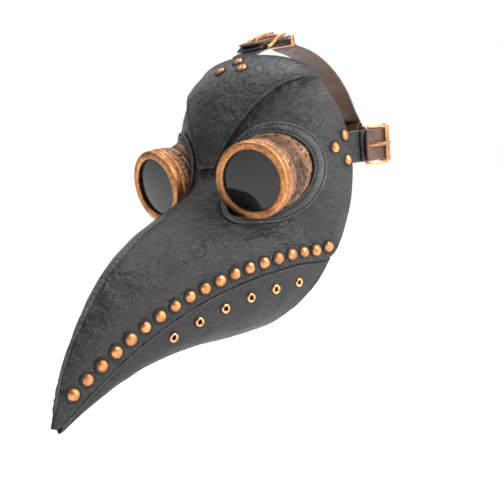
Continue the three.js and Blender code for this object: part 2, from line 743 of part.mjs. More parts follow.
// The frame: a round heel bar, two bowed side rails and the rail that the prong rests on.
function buckleFrame(line) {
  const half = STRAP.width / 2 + BUCKLE.sideGap;
  const rail = (side) => {
    const bow = steps(1.2, -BUCKLE.length - 1.2, 8);
    const path = bow.map((s) => {
      const rise = THREE.MathUtils.smoothstep(-s, 0, BUCKLE.length * 0.8);
      return lift(line.frame(s), side * (half + BUCKLE.rail / 2), BAR_N + (RAIL_N - BAR_N) * rise);
    });
    return band(path, () => line.frame(0).wide, BUCKLE.rail, BUCKLE.thick);
  };
  const farRail = line.frame(-BUCKLE.length);
  const bar = plate(line, arc(0, BAR_N, BUCKLE.bar, 0, 330, 11), 2 * (half + 1));
  const cross = [-1, 1].map((side) => lift(farRail, side * (half + 1), RAIL_N));
  return joined([rail(-1), rail(1), bar, band(cross, () => farRail.along, 3, BUCKLE.thick)]);
}

function prong(line) {
  const eye = plate(line, arc(0, BAR_N, BUCKLE.bar + CLEAR + PRONG.ring, 0, 330, 11), PRONG.width);
  const bore = plate(line, arc(0, BAR_N, BUCKLE.bar + CLEAR, 0, 330, 11), PRONG.width + 2);
  const root = line.frame(0);
  const low = (s, n) => {
    const p = lift(line.frame(s), 0, n).sub(root.at);
    return [p.dot(root.along), p.dot(root.out)];
  };
  const top = RAIL_N + BUCKLE.thick / 2 + 2 * CLEAR;
  const outline = [
    [-1.2, BAR_N],
    [-5.4, STRAP_HIGH + STRAP.thick + CLEAR],
    low(-BUCKLE.length + 4, top - 0.6),
    low(-BUCKLE.length - 2.6, top),
    low(-BUCKLE.length - 3, top + 1),
    low(-BUCKLE.length - 1, top + PRONG.thick),
    low(-BUCKLE.length + 5, top + PRONG.thick - 0.6),
    [-4.4, STRAP_HIGH + STRAP.thick + PRONG.thick + 0.8],
    [0.9, BAR_N + 1.8],
  ];
  return plate(line, outline, PRONG.width).add(eye).subtract(bore);
}

// ---- Assembly ----
const COLOURS = {
  leather: { color: 0x2b2a2b, roughness: 0.62, metalness: 0 },
  brass: { color: 0xa2642f, roughness: 0.42, metalness: 0.8 },
  copper: { color: 0xb8733a, roughness: 0.35, metalness: 0.85 },
  lens: { color: 0x1d1f21, roughness: 0.08, metalness: 0 },
  rubber: { color: 0x151515, roughness: 0.8, metalness: 0 },
  strap: { color: 0x6b4226, roughness: 0.55, metalness: 0 },
};
const materials = Object.fromEntries(
  Object.entries(COLOURS).map(([name, look]) => [name, new THREE.MeshStandardMaterial(look)]),
);

const mask = new THREE.Group();
const otherSide = new THREE.Group();
otherSide.scale.x = -1;
mask.add(otherSide);

function place(name, solid, material, group = mask) {
  const mesh = new THREE.Mesh(geometryOf(solid), materials[material]);
  mesh.name = name;
  group.add(mesh);
}

// The same piece on the wearer's left and, mirrored, on the right.
function placeBoth(name, solid, material) {
  place(`${name}_left`, solid, material);
  place(`${name}_right`, solid, material, otherSide);
}

const mirrored = (solid) => solidOf(geometryOf(solid), new THREE.Matrix4().makeScale(-1, 1, 1));
const shankHole = RIVET.shank + CLEAR;
const mouthDrills = joined(mouthRivetPlaces.map((at) => drill(at, shankHole)));
const templeDrills = joined(templePlaces.map((at) => drill(at, shankHole)));
const crownDrills = joined(crownPlaces.map((at) => drill(at, shankHole)));
const eyeletDrills = joined(eyeletPlaces.map((at) => drill(at, EYELET.barrel + 2 * CLEAR, -12, 3)));

placeBoth(
  "side_panel",
  sidePanel().subtract(eyeHole(EYE_HOLE)).subtract(mouthDrills).subtract(templeDrills),
  "leather",
);
place("forehead_panel", foreheadPanel().subtract(crownDrills), "leather");
place("jaw_panel", jawPanel().subtract(eyeletDrills).subtract(mirrored(eyeletDrills)), "leather");
place("ridge_binding", ridgeBinding(), "leather");
placeBoth("eye_patch", eyePatch(), "leather");
placeBoth("eye_retainer", eyeRetainer(), "leather");
placeBoth("eye_cup", eyeCup(), "brass");
placeBoth("bezel", bezel(), "brass");
placeBoth("lens", lens(), "lens");
placeBoth("lens_gasket", gasket(), "rubber");
placeBoth("mouth_rivets", mouthRivets(), "copper");
eyeletPlaces.forEach((at, i) => placeBoth(`eyelet_${i + 1}`, eyelet(at), "copper"));

const templeDepth = LEATHER + TAB.thick + 2 * CLEAR;
templePlaces.forEach((at, i) => {
  placeBoth(`temple_rivet_${i + 1}`, rivet(at, templeDepth, CLEAR / 2), "copper");
});
const crownDepth = TAB.thick + 5 * CLEAR - FOREHEAD_LIFT;
crownPlaces.forEach((at, i) => {
  place(`crown_rivet_${i + 1}`, rivet(at, crownDepth, FOREHEAD_LIFT + LEATHER), "copper");
});

placeBoth("side_tab", sideTab().subtract(templeDrills), "leather");
placeBoth("side_buckle", buckleFrame(sideLine), "brass");
placeBoth("side_prong", prong(sideLine), "brass");
placeBoth("side_keeper", keeper(sideLine), "brass");
place("back_strap", backStrap(), "strap");
place("top_tab", topTab().subtract(crownDrills), "leather");
place("top_buckle", buckleFrame(topLine), "brass");
place("top_prong", prong(topLine), "brass");
place("top_keeper", keeper(topLine), "brass");
place("top_strap", topStrap(), "strap");

export default mask;
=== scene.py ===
# %% [markdown]
# # A plague doctor mask, dressed over its measured frame The real object is a mask of black leather with a
# long hooked beak. Panels are riveted and sewn together, two bronze eyepieces screw on to tubes, and three
# straps hold it on the head. The measured model gives the sizes and the joints. Here each piece gets the
# shape and finish that a leather worker would give it.

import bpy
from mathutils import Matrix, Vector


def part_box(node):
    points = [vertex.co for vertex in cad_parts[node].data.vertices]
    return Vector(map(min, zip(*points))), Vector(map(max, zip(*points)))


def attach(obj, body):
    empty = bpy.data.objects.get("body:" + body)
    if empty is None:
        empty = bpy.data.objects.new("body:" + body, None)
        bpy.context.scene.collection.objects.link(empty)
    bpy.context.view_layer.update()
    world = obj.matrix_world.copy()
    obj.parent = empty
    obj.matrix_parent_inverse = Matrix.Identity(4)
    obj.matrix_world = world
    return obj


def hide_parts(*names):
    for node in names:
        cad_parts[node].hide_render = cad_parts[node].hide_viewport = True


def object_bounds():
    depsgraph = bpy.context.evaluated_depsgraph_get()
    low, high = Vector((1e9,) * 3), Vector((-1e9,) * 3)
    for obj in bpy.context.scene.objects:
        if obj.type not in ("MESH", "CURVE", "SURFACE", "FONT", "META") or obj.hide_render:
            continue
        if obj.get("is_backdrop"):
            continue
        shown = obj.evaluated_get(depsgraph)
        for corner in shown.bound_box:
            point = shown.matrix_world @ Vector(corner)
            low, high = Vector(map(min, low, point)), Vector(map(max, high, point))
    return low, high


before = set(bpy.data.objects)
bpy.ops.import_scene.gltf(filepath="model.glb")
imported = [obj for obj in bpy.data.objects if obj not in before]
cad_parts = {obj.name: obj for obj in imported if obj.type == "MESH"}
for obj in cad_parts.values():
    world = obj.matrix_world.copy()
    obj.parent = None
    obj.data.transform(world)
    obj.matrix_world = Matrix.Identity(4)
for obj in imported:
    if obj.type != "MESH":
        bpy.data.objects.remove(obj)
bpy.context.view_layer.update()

# %% The tools used all through
import math

import bmesh
import bpy
import numpy as np
from mathutils import Matrix, Vector, noise

MM = 0.001
SIDES = (("left", 1.0), ("right", -1.0))
print("Blender", bpy.app.version_string)

# %% [markdown]
# ## The camera and the studio
# The mask is seen three quarters from the wearer's left, level with the eyes and leaning a little. A long
# lens keeps the beak from looking too big. The camera's axes are worked out with plain vectors: first it
# looks at the middle of the mask, then it is turned until the middle sits a little right of and above the
# centre.

# %% Place the camera
AZIMUTH, ROLL, DISTANCE, LENS_MM, SENSOR_MM = math.radians(37), math.radians(-3.5), 0.78, 64.8, 36
AIM_RIGHT, AIM_UP = 0.052, 0.132  # where the mask's middle shows, as shares of the picture from its centre

back = Vector((math.sin(AZIMUTH), -math.cos(AZIMUTH), 0))
level = Vector((math.cos(AZIMUTH), math.sin(AZIMUTH), 0))
right = level * math.cos(ROLL) + Vector((0, 0, 1)) * math.sin(ROLL)
up = Vector((0, 0, 1)) * math.cos(ROLL) - level * math.sin(ROLL)
focal = LENS_MM / SENSOR_MM
yaw = math.atan(AIM_RIGHT / focal)
forward = -back * math.cos(yaw) - right * math.sin(yaw)
right = right * math.cos(yaw) - back * math.sin(yaw)
pitch = math.atan(AIM_UP / focal * math.cos(yaw))
forward, up = (forward * math.cos(pitch) - up * math.sin(pitch),
               up * math.cos(pitch) + forward * math.sin(pitch))

camera = bpy.data.objects.new("camera", bpy.data.cameras.new("camera"))
camera.data.lens = LENS_MM
camera.data.sensor_width = SENSOR_MM
camera.data.clip_start = 0.01
axes = Matrix((right, up, -forward)).transposed().to_4x4()
camera.matrix_world = Matrix.Translation(back * DISTANCE) @ axes
bpy.context.scene.collection.objects.link(camera)
bpy.context.scene.camera = camera
print("camera at", [round(v, 3) for v in camera.matrix_world.translation])

# %% [markdown]
# ## The skin that every panel follows
# A mask maker draws a few cross-sections and bends the leather smoothly from one to the next. So does the
# frame: each station has a point on the ridge, one on the mouth seam and one under the jaw. We draw the
# same lines here, because a skin that can be asked for any point lets us make panels as fine as we like and
# put stitches, folds and rivets exactly on them.

# %% The stations, in millimetres from the middle of the face
RIDGE = [(-33, 104), (-62, 82), (-79, 50), (-86, 22), (-94, 3), (-109, -6), (-133, -16), (-164, -31),
         (-196, -52), (-224, -81), (-246, -114), (-259, -150)]
SEAM = [(61, -14, 80), (71, -6, 60), (78, -1, 33), (80, -2, 4), (78, -9, -28), (69, -22, -60), (62, -62, -63),
        (49, -104, -70), (35, -146, -83), (22, -186, -102), (11, -224, -127), (2.5, -256, -152)]
KEEL = [(-74, -118), (-98, -119), (-130, -120), (-162, -123), (-193, -130), (-227, -143), (-256, -157)]
PINCH = [-0.06, -0.06, -0.02, 0.1, 0.35, 0.35, 0.25, 0.1, 0, -0.06, -0.06, -0.06]
KEEL_PINCH = -0.06
JAW = 5 / 11  # where the jaw panel starts along the skin
LEATHER = 2.5 * MM
TINY = 1e-3

ridge_points = np.array([(0, y, z) for y, z in RIDGE]) * MM
seam_points = np.array(SEAM) * MM
keel_points = np.array([(0, y, z) for y, z in KEEL]) * MM
pinch_points = np.array(PINCH)[:, None]


def smooth_line(points, t):
    """Points on a smooth line through the given ones, for t from 0 to 1."""
    place = np.clip(t, 0, 1) * (len(points) - 1)
    i = np.minimum(place.astype(int), len(points) - 2)
    f = (place - i)[..., None]
    padded = np.vstack([2 * points[0] - points[1], points, 2 * points[-1] - points[-2]])
    p0, p1, p2, p3 = (padded[i + k] for k in range(4))
    m1, m2 = (p2 - p0) / 2, (p3 - p1) / 2
    return (2 * p1 - 2 * p2 + m1 + m2) * f**3 + (3 * p2 - 3 * p1 - 2 * m1 - m2) * f**2 + m1 * f + p1


def skin(u, q):
    """The skin at u (0 at the crown, 1 at the tip) and q (0 on the ridge, 1 on the seam, 2 on the keel)."""
    u, q = np.broadcast_arrays(np.asarray(u, float), np.asarray(q, float))
    across = np.abs(q)
    under = across > 1
    seam = smooth_line(seam_points, u)
    keel = smooth_line(keel_points, np.maximum((u - JAW) / (1 - JAW), 0))
    middle = np.where(under[..., None], keel, smooth_line(ridge_points, u))
    angle = np.where(under, 2 - across, across) * math.pi / 2
    pinch = np.where(under, KEEL_PINCH, smooth_line(pinch_points, u)[..., 0])
    rise = np.cos(angle)
    out = np.sin(angle) * (1 - pinch * rise**2)
    side = np.where(q < 0, -1.0, 1.0)
    flat = seam[..., 1:] + (middle[..., 1:] - seam[..., 1:]) * rise[..., None]
    return np.concatenate([(side * seam[..., 0] * out)[..., None], flat], axis=-1)


def slopes(u, q):
    """How the skin runs along u and along q. Each side of the crease at the seam keeps to itself."""
    u, q = np.broadcast_arrays(np.asarray(u, float), np.asarray(q, float))
    across = np.abs(q)
    near = np.where(across <= 1, np.minimum(across, 1 - 2 * TINY), np.maximum(across, 1 + 2 * TINY))
    q = np.where(q < 0, -near, near)
    low, high = np.maximum(u - TINY, 0), np.minimum(u + TINY, 1)
    du = (skin(high, q) - skin(low, q)) / (high - low)[..., None]
    dq = (skin(u, q + TINY) - skin(u, q - TINY)) / (2 * TINY)
    return du, dq


def unit(vectors):
    return vectors / np.maximum(np.linalg.norm(vectors, axis=-1, keepdims=True), 1e-12)


def normal_at(u, q):
    du, dq = slopes(u, q)
    return unit(np.cross(du, dq))


def raised(u, q, height):
    """Points at a height over the skin."""
    return skin(u, q) + normal_at(u, q) * np.asarray(height)[..., None]


def settle(target, u, q, sight=None):
    """The places on the skin nearest the targets, or on the line of sight through them."""
    for _ in range(14):
        du, dq = slopes(u, q)
        gap = target - skin(u, q)
        if sight is not None:
            du, dq, gap = (v - (v @ sight)[..., None] * sight for v in (du, dq, gap))
        a, b, c = (np.sum(x * y, axis=-1) for x, y in ((du, du), (du, dq), (dq, dq)))
        d, e = (np.sum(gap * x, axis=-1) for x in (du, dq))
        det = a * c - b * b
        u = np.clip(u + (c * d - b * e) / det, 0.001, 0.999)
        q = q + (a * e - b * d) / det
    return u, q


def walk(u, q, direction, distance):
    """A step over the skin, in a direction that is first laid flat on it."""
    normal = normal_at(u, q)
    flat = unit(direction - np.sum(direction * normal, axis=-1, keepdims=True) * normal)
    return settle(skin(u, q) + flat * np.asarray(distance)[..., None], u, q)


box_low, box_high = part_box("side_panel_left")
shell_points = skin(np.linspace(0, 1, 200)[:, None], np.linspace(0, 1, 60)[None, :]).reshape(-1, 3)
print("skin against the frame's side panel, mm:",
      np.round((shell_points.min(0) - box_low) / MM, 2), np.round((shell_points.max(0) - box_high) / MM, 2))

# %% [markdown]
# ## Turning grids of points into closed sheets
# Leather has thickness and its cut edge is rounded off with a bone tool. A piece is two grids of points,
# the face and the flesh side, closed all round. Near an edge both grids come together along a quarter
# circle, which catches the light just as a burnished edge does.

# %% Helpers that make the pieces
def signed_volume(points, faces):
    total = 0.0
    for face in faces:
        a = points[face[0]]
        for i in range(1, len(face) - 1):
            total += np.dot(a, np.cross(points[face[i]], points[face[i + 1]]))
    return total


def make_piece(name, points, faces, finish, body="mask", stands_for=(), values=None):
    """A mesh object from points and faces, with its faces turned outwards."""
    points = np.asarray(points, float)
    if signed_volume(points, faces) < 0:
        faces = [tuple(reversed(face)) for face in faces]
    mesh = bpy.data.meshes.new(name)
    mesh.from_pydata(points.tolist(), [], [tuple(map(int, face)) for face in faces])
    mesh.polygons.foreach_set("use_smooth", [True] * len(mesh.polygons))
    for label, numbers in (values or {}).items():
        layer = mesh.attributes.new(label, "FLOAT", "POINT")
        layer.data.foreach_set("value", np.asarray(numbers, dtype=np.float32).ravel())
    piece = bpy.data.objects.new(name, mesh)
    bpy.context.scene.collection.objects.link(piece)
    return dress(piece, finish, body, stands_for)


def dress(piece, finish, body="mask", stands_for=()):
    """Gives a piece its finish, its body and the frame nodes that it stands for."""
    if finish is not None:
        piece.data.materials.clear()
        piece.data.materials.append(finish)
    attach(piece, body)
    if stands_for:
        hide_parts(*stands_for)
    return piece


def sheet_faces(rows, columns, keep=None, wrap=False):
    """Faces of a sheet: rows x columns points on the face, the same on the flesh side, and the walls."""
    cells = columns if wrap else columns - 1
    keep = np.ones((rows - 1, cells), bool) if keep is None else keep
    under = rows * columns
    faces = []
    for i in range(rows - 1):
        for j in range(cells):
            if not keep[i, j]:
                continue
            k = (j + 1) % columns
            a, b, c, d = i * columns + j, (i + 1) * columns + j, (i + 1) * columns + k, i * columns + k
            faces.append((a, b, c, d))
            faces.append((a + under, d + under, c + under, b + under))
            left, right_cell = (j - 1) % cells if wrap else j - 1, (j + 1) % cells if wrap else j + 1
            if i == 0 or not keep[i - 1, j]:
                faces.append((d, d + under, a + under, a))
            if i == rows - 2 or not keep[i + 1, j]:
                faces.append((b, b + under, c + under, c))
            if left < 0 or not keep[i, left]:
                faces.append((a, a + under, b + under, b))
            if right_cell >= cells or not keep[i, right_cell]:
                faces.append((c, c + under, d + under, d))
    return faces


def tube_faces(rows, columns, closed=True):
    """Faces between rings of points. A closed one joins the last ring to the first."""
    faces = []
    for i in range(rows if closed else rows - 1):
        n = (i + 1) % rows
        for j in range(columns):
            k = (j + 1) % columns
            faces.append((i * columns + j, n * columns + j, n * columns + k, i * columns + k))
    if not closed:
        faces.append(tuple(range(columns)))
        faces.append(tuple((rows - 1) * columns + j for j in reversed(range(columns))))
    return faces


def rounding(distance, radius):
    """How much of its half thickness a sheet has at a distance from its edge."""
    near = np.clip(distance / radius, 0, 1)
    return np.maximum(np.sqrt(1 - (1 - near) ** 2), 0.12)


def crumple(points, size, octaves=4):
    """Even, cloudy numbers about 0 for each point, whose lumps are about that size."""
    flat = points.reshape(-1, 3) / size
    numbers = [noise.fractal(Vector(p), 0.9, 2.1, octaves) for p in flat]
    return np.array(numbers).reshape(points.shape[:-1])


def spread(low, high, count, edge):
    """Numbers from low to high, the given edge distances at both ends and even steps between."""
    edge = np.asarray(edge)
    middle = np.linspace(low + edge[-1], high - edge[-1], count)
    return np.concatenate([low + edge[:-1], middle, (high - edge[:-1])[::-1]])


print("sheet of 3 by 3 points has", len(sheet_faces(3, 3)), "faces")

# %% [markdown]
# ## Shader maths that reads like maths
# A finish is a small network of nodes. Writing `rough + 0.2 * cracks` is easier to follow than linking Math
# nodes by hand, so a small class wraps a socket and turns the operators into nodes. Every other node comes
# from one method, which sets the node's own settings first and then its sockets.

# %% The shader helpers
class Value:
    """A socket that can be added, multiplied and so on."""

    def __init__(self, finish, socket):
        self.finish, self.socket = finish, socket

    def maths(self, operation, first, second, third=None):
        sockets = {0: first, 1: second}
        if third is not None:
            sockets[2] = third
        return self.finish.node("ShaderNodeMath", {"operation": operation}, sockets)

    def __add__(self, other):
        return self.maths("ADD", self, other)

    def __sub__(self, other):
        return self.maths("SUBTRACT", self, other)

    def __rsub__(self, other):
        return self.maths("SUBTRACT", other, self)

    def __mul__(self, other):
        return self.maths("MULTIPLY", self, other)

    def __truediv__(self, other):
        return self.maths("DIVIDE", self, other)

    def __rtruediv__(self, other):
        return self.maths("DIVIDE", other, self)

    def __pow__(self, other):
        return self.maths("POWER", self, other)

    def steps(self, low, high):
        """0 below low, 1 above high and smooth between them."""
        ramp = {"interpolation_type": "SMOOTHSTEP"}
        return self.finish.node("ShaderNodeMapRange", ramp,
                                {"Value": self, "From Min": low, "From Max": high})

    __radd__ = __add__
    __rmul__ = __mul__


class Finish:
    """A material and its nodes."""

    def __init__(self, name):
        self.material = bpy.data.materials.new(name)
        self.material.use_nodes = True
        self.tree = self.material.node_tree
        self.tree.nodes.clear()
        self.place = self.node("ShaderNodeTexCoord", {}, {}, "Object")

    def node(self, kind, settings, sockets, output=0):
        made = self.tree.nodes.new(kind)
        for name, setting in settings.items():
            if name == "stops":
                ramp = made.color_ramp
                while len(ramp.elements) < len(setting):
                    ramp.elements.new(0.5)
                for element, (position, colour) in zip(ramp.elements, setting):
                    element.position = position
                    element.color = (*colour, 1)
            else:
                setattr(made, name, setting)
        for name, value in sockets.items():
            socket = made.inputs[name]
            if isinstance(value, Value):
                self.tree.links.new(value.socket, socket)
            elif value is not None:
                socket.default_value = value
        return Value(self, made.outputs[output])

    def clouds(self, scale, detail=4, rough=0.55, stretch=None, distortion=0.0):
        place = self.place
        if stretch is not None:
            place = self.node("ShaderNodeMapping", {}, {"Vector": place, "Scale": stretch})
        sockets = {"Vector": place, "Scale": scale, "Detail": detail, "Roughness": rough,
                   "Distortion": distortion}
        return self.node("ShaderNodeTexNoise", {}, sockets)

    def cells(self, scale, feature="F1", randomness=1.0, place=None):
        sockets = {"Vector": place or self.place, "Scale": scale, "Randomness": randomness}
        return self.node("ShaderNodeTexVoronoi", {"feature": feature}, sockets)

    def attribute(self, name):
        return self.node("ShaderNodeAttribute", {"attribute_name": name}, {}, "Fac")

    def mix(self, share, first, second):
        """A colour between two others."""
        colour = {"data_type": "RGBA"}
        made = self.node("ShaderNodeMix", colour, {0: share, 6: shade(first), 7: shade(second)}, 2)
        return made

    def bump(self, height, distance, strength=1.0, under=None):
        sockets = {"Height": height, "Distance": distance, "Strength": strength, "Normal": under}
        return self.node("ShaderNodeBump", {}, sockets)

    def done(self, **sockets):
        named = {key.replace("_", " "): shade(value) if key == "Base_Color" else value
                 for key, value in sockets.items()}
        surface = self.node("ShaderNodeBsdfPrincipled", {}, named)
        self.node_out = self.tree.nodes.new("ShaderNodeOutputMaterial")
        self.tree.links.new(surface.socket, self.node_out.inputs["Surface"])
        print("finish:", self.material.name, "with", len(self.tree.nodes), "nodes")
        return self.material


def shade(colour):
    """A plain colour gets the fourth number that a colour socket wants."""
    return (*colour, 1) if isinstance(colour, tuple) and len(colour) == 3 else colour


# %% [markdown]
# ## Black leather
# The shell is vegetable-tanned leather, dyed black and waxed. Up close its grain is a net of tiny cells,
# with longer creases where it was bent wet over the form. Wax gives it a dull sheen and dye never takes quite
# evenly. Cells come from a Voronoi pattern, creases from stretched noise, and a number on each point, high
# near cut edges, rivet rims and fold crests, paints a paler, smoother rub there: partly wear, partly painted
# highlight.

# %% The leather finishes
def leather(name, dark, pale, roughness, grain=1.0, crease=1.0, streak=(1, 0.35, 1), rub_and_highlight=(0.2, 0.19, 0.18)):
    f = Finish(name)
    tone = f.clouds(16, 5, 0.6)
    blotch = f.clouds(70, 3, 0.6)
    pores = f.cells(1250)
    net = f.node("ShaderNodeTexVoronoi", {"feature": "DISTANCE_TO_EDGE"}, {"Vector": f.place, "Scale": 820.0})
    folds = f.clouds(190, 2, 0.5, stretch=streak, distortion=0.6)
    flow = f.clouds(50, 2, 0.5, stretch=streak, distortion=1.2)
    scuffs = f.clouds(330, 4, 0.7, stretch=(0.35, 1, 1)).steps(0.6, 0.72)
    wear = f.attribute("wear")
    mottled = f.clouds(420, 4, 0.7)
    wrinkles = f.clouds(430, 2, 0.6, stretch=streak, distortion=0.8)
    # Paler near cut edges, rivet rims and fold crests: partly real rub, partly painted highlight where
    # rounded edges catch the light.
    rub_and_edge_highlight = (wear * (0.3 + mottled)).steps(0.5, 1.0)
    colour = f.mix((tone * 0.55 + blotch * 0.45).steps(0.38, 0.66), dark, pale)
    colour = f.mix(net.steps(0.0, 0.16) * 0.35 + 0.65, tuple(0.45 * c for c in dark), colour)
    colour = f.mix(scuffs * 0.1, colour, rub_and_highlight)
    colour = f.mix(rub_and_edge_highlight * 0.5, colour, rub_and_highlight)
    gloss = roughness + 0.16 * (folds - 0.5) + 0.12 * (tone - 0.5) - 0.1 * rub_and_edge_highlight
    relief = f.bump(flow, 0.0035 * crease, 1.0)
    relief = f.bump(folds, 0.0016 * crease, 1.0, relief)
    relief = f.bump(wrinkles, 0.0008 * grain, 1.0, relief)
    relief = f.bump(net.steps(0.0, 0.22), 0.00015 * grain, 1.0, relief)
    relief = f.bump(pores, 0.00006 * grain, 1.0, relief)
    return f.done(Base_Color=colour, Roughness=gloss, Normal=relief, Sheen_Weight=0.015,
                  Sheen_Roughness=0.4, Specular_IOR_Level=0.5)


shell_leather = leather("black_shell_leather", (0.002, 0.002, 0.002), (0.011, 0.0108, 0.0105), 0.37)
panel_leather = leather("black_forehead_leather", (0.002, 0.0021, 0.0022), (0.008, 0.008, 0.008), 0.4)
jaw_leather = leather("black_jaw_leather", (0.002, 0.0021, 0.0022), (0.008, 0.008, 0.0084), 0.46, crease=0.6)
patch_leather = leather("black_patch_leather", (0.02, 0.02, 0.0195), (0.075, 0.073, 0.07), 0.4, crease=0.6)
tab_leather = leather("black_tab_leather", (0.004, 0.004, 0.004), (0.012, 0.0115, 0.011), 0.42, crease=0.6)
roll_leather = leather("burnished_black_edge", (0.004, 0.004, 0.004), (0.01, 0.01, 0.01), 0.4, crease=0.4)
strap_leather = leather("brown_strap_leather", (0.045, 0.017, 0.008), (0.15, 0.062, 0.026), 0.46,
                        crease=0.5, rub_and_highlight=(0.42, 0.23, 0.11))


def lining():
    """The flesh side: paler, dull and slightly hairy."""
    f = Finish("suede_lining")
    nap = f.clouds(900, 4, 0.7)
    tone = f.clouds(40, 4, 0.6)
    colour = f.mix(tone.steps(0.35, 0.7), (0.035, 0.027, 0.021), (0.085, 0.064, 0.047))
    relief = f.bump(nap, 0.0004, 0.6)
    return f.done(Base_Color=colour, Roughness=0.8 + 0.15 * nap, Normal=relief, Sheen_Weight=0.3,
                  Specular_IOR_Level=0.3)


def thread():
    """Waxed linen thread: twisted, nearly black."""
    f = Finish("waxed_black_thread")
    twist = f.clouds(2600, 2, 0.5, stretch=(1, 0.4, 1))
    colour = f.mix(twist, (0.003, 0.003, 0.003), (0.012, 0.012, 0.012))
    return f.done(Base_Color=colour, Roughness=0.5 + 0.2 * twist, Normal=f.bump(twist, 0.0002, 0.5))


def painted_shade_finish():
    """Painted shade: a near-black finish for the ring round a rivet's head, standing for the shadow in the
    gap under it.
    """
    f = Finish("painted_rivet_shadow")
    lumps = f.clouds(1500, 3, 0.6)
    colour = f.mix(lumps, (0.002, 0.002, 0.002), (0.012, 0.011, 0.01))
    return f.done(Base_Color=colour, Roughness=0.55 + 0.3 * lumps, Normal=f.bump(lumps, 0.0003, 0.5))


suede, linen, rivet_shade_paint = lining(), thread(), painted_shade_finish()

# %% [markdown]
# ## Bronze and copper
# The tubes are old bronze: nearly black in the pits, brown where handled and orange where the metal is
# rubbed bare; their edges are also painted brighter as a highlight. Streaks run along them, as casting and
# filing leave. The screwed rings and rivets are the same metal kept brighter by hands. Metal takes its look
# from what it reflects, so roughness and pits matter more than colour.

# %% The metal finishes
def metal(name, deep, middle, bright, roughness, age, pits, streaks=(1, 1, 0.25), metallic=1.0):
    f = Finish(name)
    patina = f.clouds(45, 6, 0.62, distortion=0.5)
    mottle = f.clouds(210, 5, 0.65)
    lines = f.clouds(260, 5, 0.65, stretch=streaks, distortion=0.4)
    hollows = f.clouds(420, 4, 0.6).steps(0.34, 0.5)
    hammer = f.clouds(520, 3, 0.55)
    aged = (patina * 0.5 + lines * 0.3 + mottle * 0.2 + age).steps(0.4, 0.62)
    # Brighter on lips, edges and the outer side of bars: partly metal rubbed bare, partly painted highlight.
    worn_and_lit = f.attribute("wear")
    aged = aged * (1 - 0.85 * worn_and_lit)
    colour = f.mix(mottle.steps(0.35, 0.65), middle, bright)
    colour = f.mix(worn_and_lit * 0.8, colour, bright)
    colour = f.mix(aged, colour, deep)
    colour = f.mix((1 - hollows) * pits, colour, tuple(0.35 * c for c in deep))
    gloss = roughness + 0.32 * aged + 0.14 * (mottle - 0.5) + 0.2 * (1 - hollows) * pits
    relief = f.bump(lines, 0.0006 * pits + 0.00008, 0.6)
    relief = f.bump(hammer, 0.00035 * pits + 0.00006, 0.5, relief)
    relief = f.bump(hollows, 0.0004 * pits + 0.00001, 0.7, relief)
    return f.done(Base_Color=colour, Roughness=gloss, Metallic=metallic - 0.45 * aged, Normal=relief,
                  Specular_IOR_Level=0.5)


tube_bronze = metal("weathered_tube_bronze", (0.03, 0.018, 0.013), (0.22, 0.115, 0.068), (0.46, 0.26, 0.155),
                    0.46, 0.05, 1.0)
ring_bronze = metal("handled_ring_bronze", (0.07, 0.028, 0.011), (0.34, 0.14, 0.05), (0.6, 0.28, 0.12),
                    0.42, -0.05, 0.35, streaks=(1, 1, 1))
rivet_copper = metal("rivet_copper", (0.14, 0.055, 0.022), (0.46, 0.18, 0.065), (0.72, 0.33, 0.15),
                     0.4, -0.08, 0.3, streaks=(1, 1, 1))
eyelet_copper = metal("eyelet_copper", (0.22, 0.1, 0.05), (0.6, 0.29, 0.13), (0.9, 0.5, 0.26),
                      0.27, -0.1, 0.1, streaks=(1, 1, 1))
buckle_copper = metal("buckle_copper", (0.16, 0.07, 0.03), (0.5, 0.2, 0.075), (0.85, 0.42, 0.2),
                      0.27, -0.08, 0.1, streaks=(1, 1, 1))


def rubber():
    """The dark washer under a lens, with a faint bloom."""
    f = Finish("washer_rubber")
    bloom = f.clouds(300, 4, 0.6)
    colour = f.mix(bloom, (0.004, 0.004, 0.004), (0.018, 0.018, 0.018))
    return f.done(Base_Color=colour, Roughness=0.55 + 0.3 * bloom, Normal=f.bump(bloom, 0.0002, 0.5))


def glass():
    """Smoked glass, seen only by what it reflects, with a film of dust."""
    f = Finish("smoked_glass")
    smear = f.clouds(38, 5, 0.6, distortion=1.5)
    dust = f.clouds(2400, 3, 0.6).steps(0.66, 0.76)
    colour = f.mix(dust * 0.25, (0.004, 0.0045, 0.005), (0.05, 0.05, 0.05))
    gloss = 0.045 + 0.09 * smear.steps(0.45, 0.8) + 0.1 * dust
    return f.done(Base_Color=colour, Roughness=gloss, Specular_IOR_Level=0.3, Coat_Weight=0.2,
                  Coat_Roughness=0.04, Normal=f.bump(smear, 0.00003, 0.3))


washer_rubber, smoked_glass = rubber(), glass()

# %% [markdown]
# ## One pattern for everything set in a row
# Rivets, eyelets and stitches are all the same job: one small shape, set many times along a line, each a
# little different because a hand set it. A Geometry Nodes tree does it once for all of them. It takes a
# cloud of points that know which way is out and which way the line runs, puts the shape on each, varies its
# size and turn, dents it slightly, and gives back plain mesh.

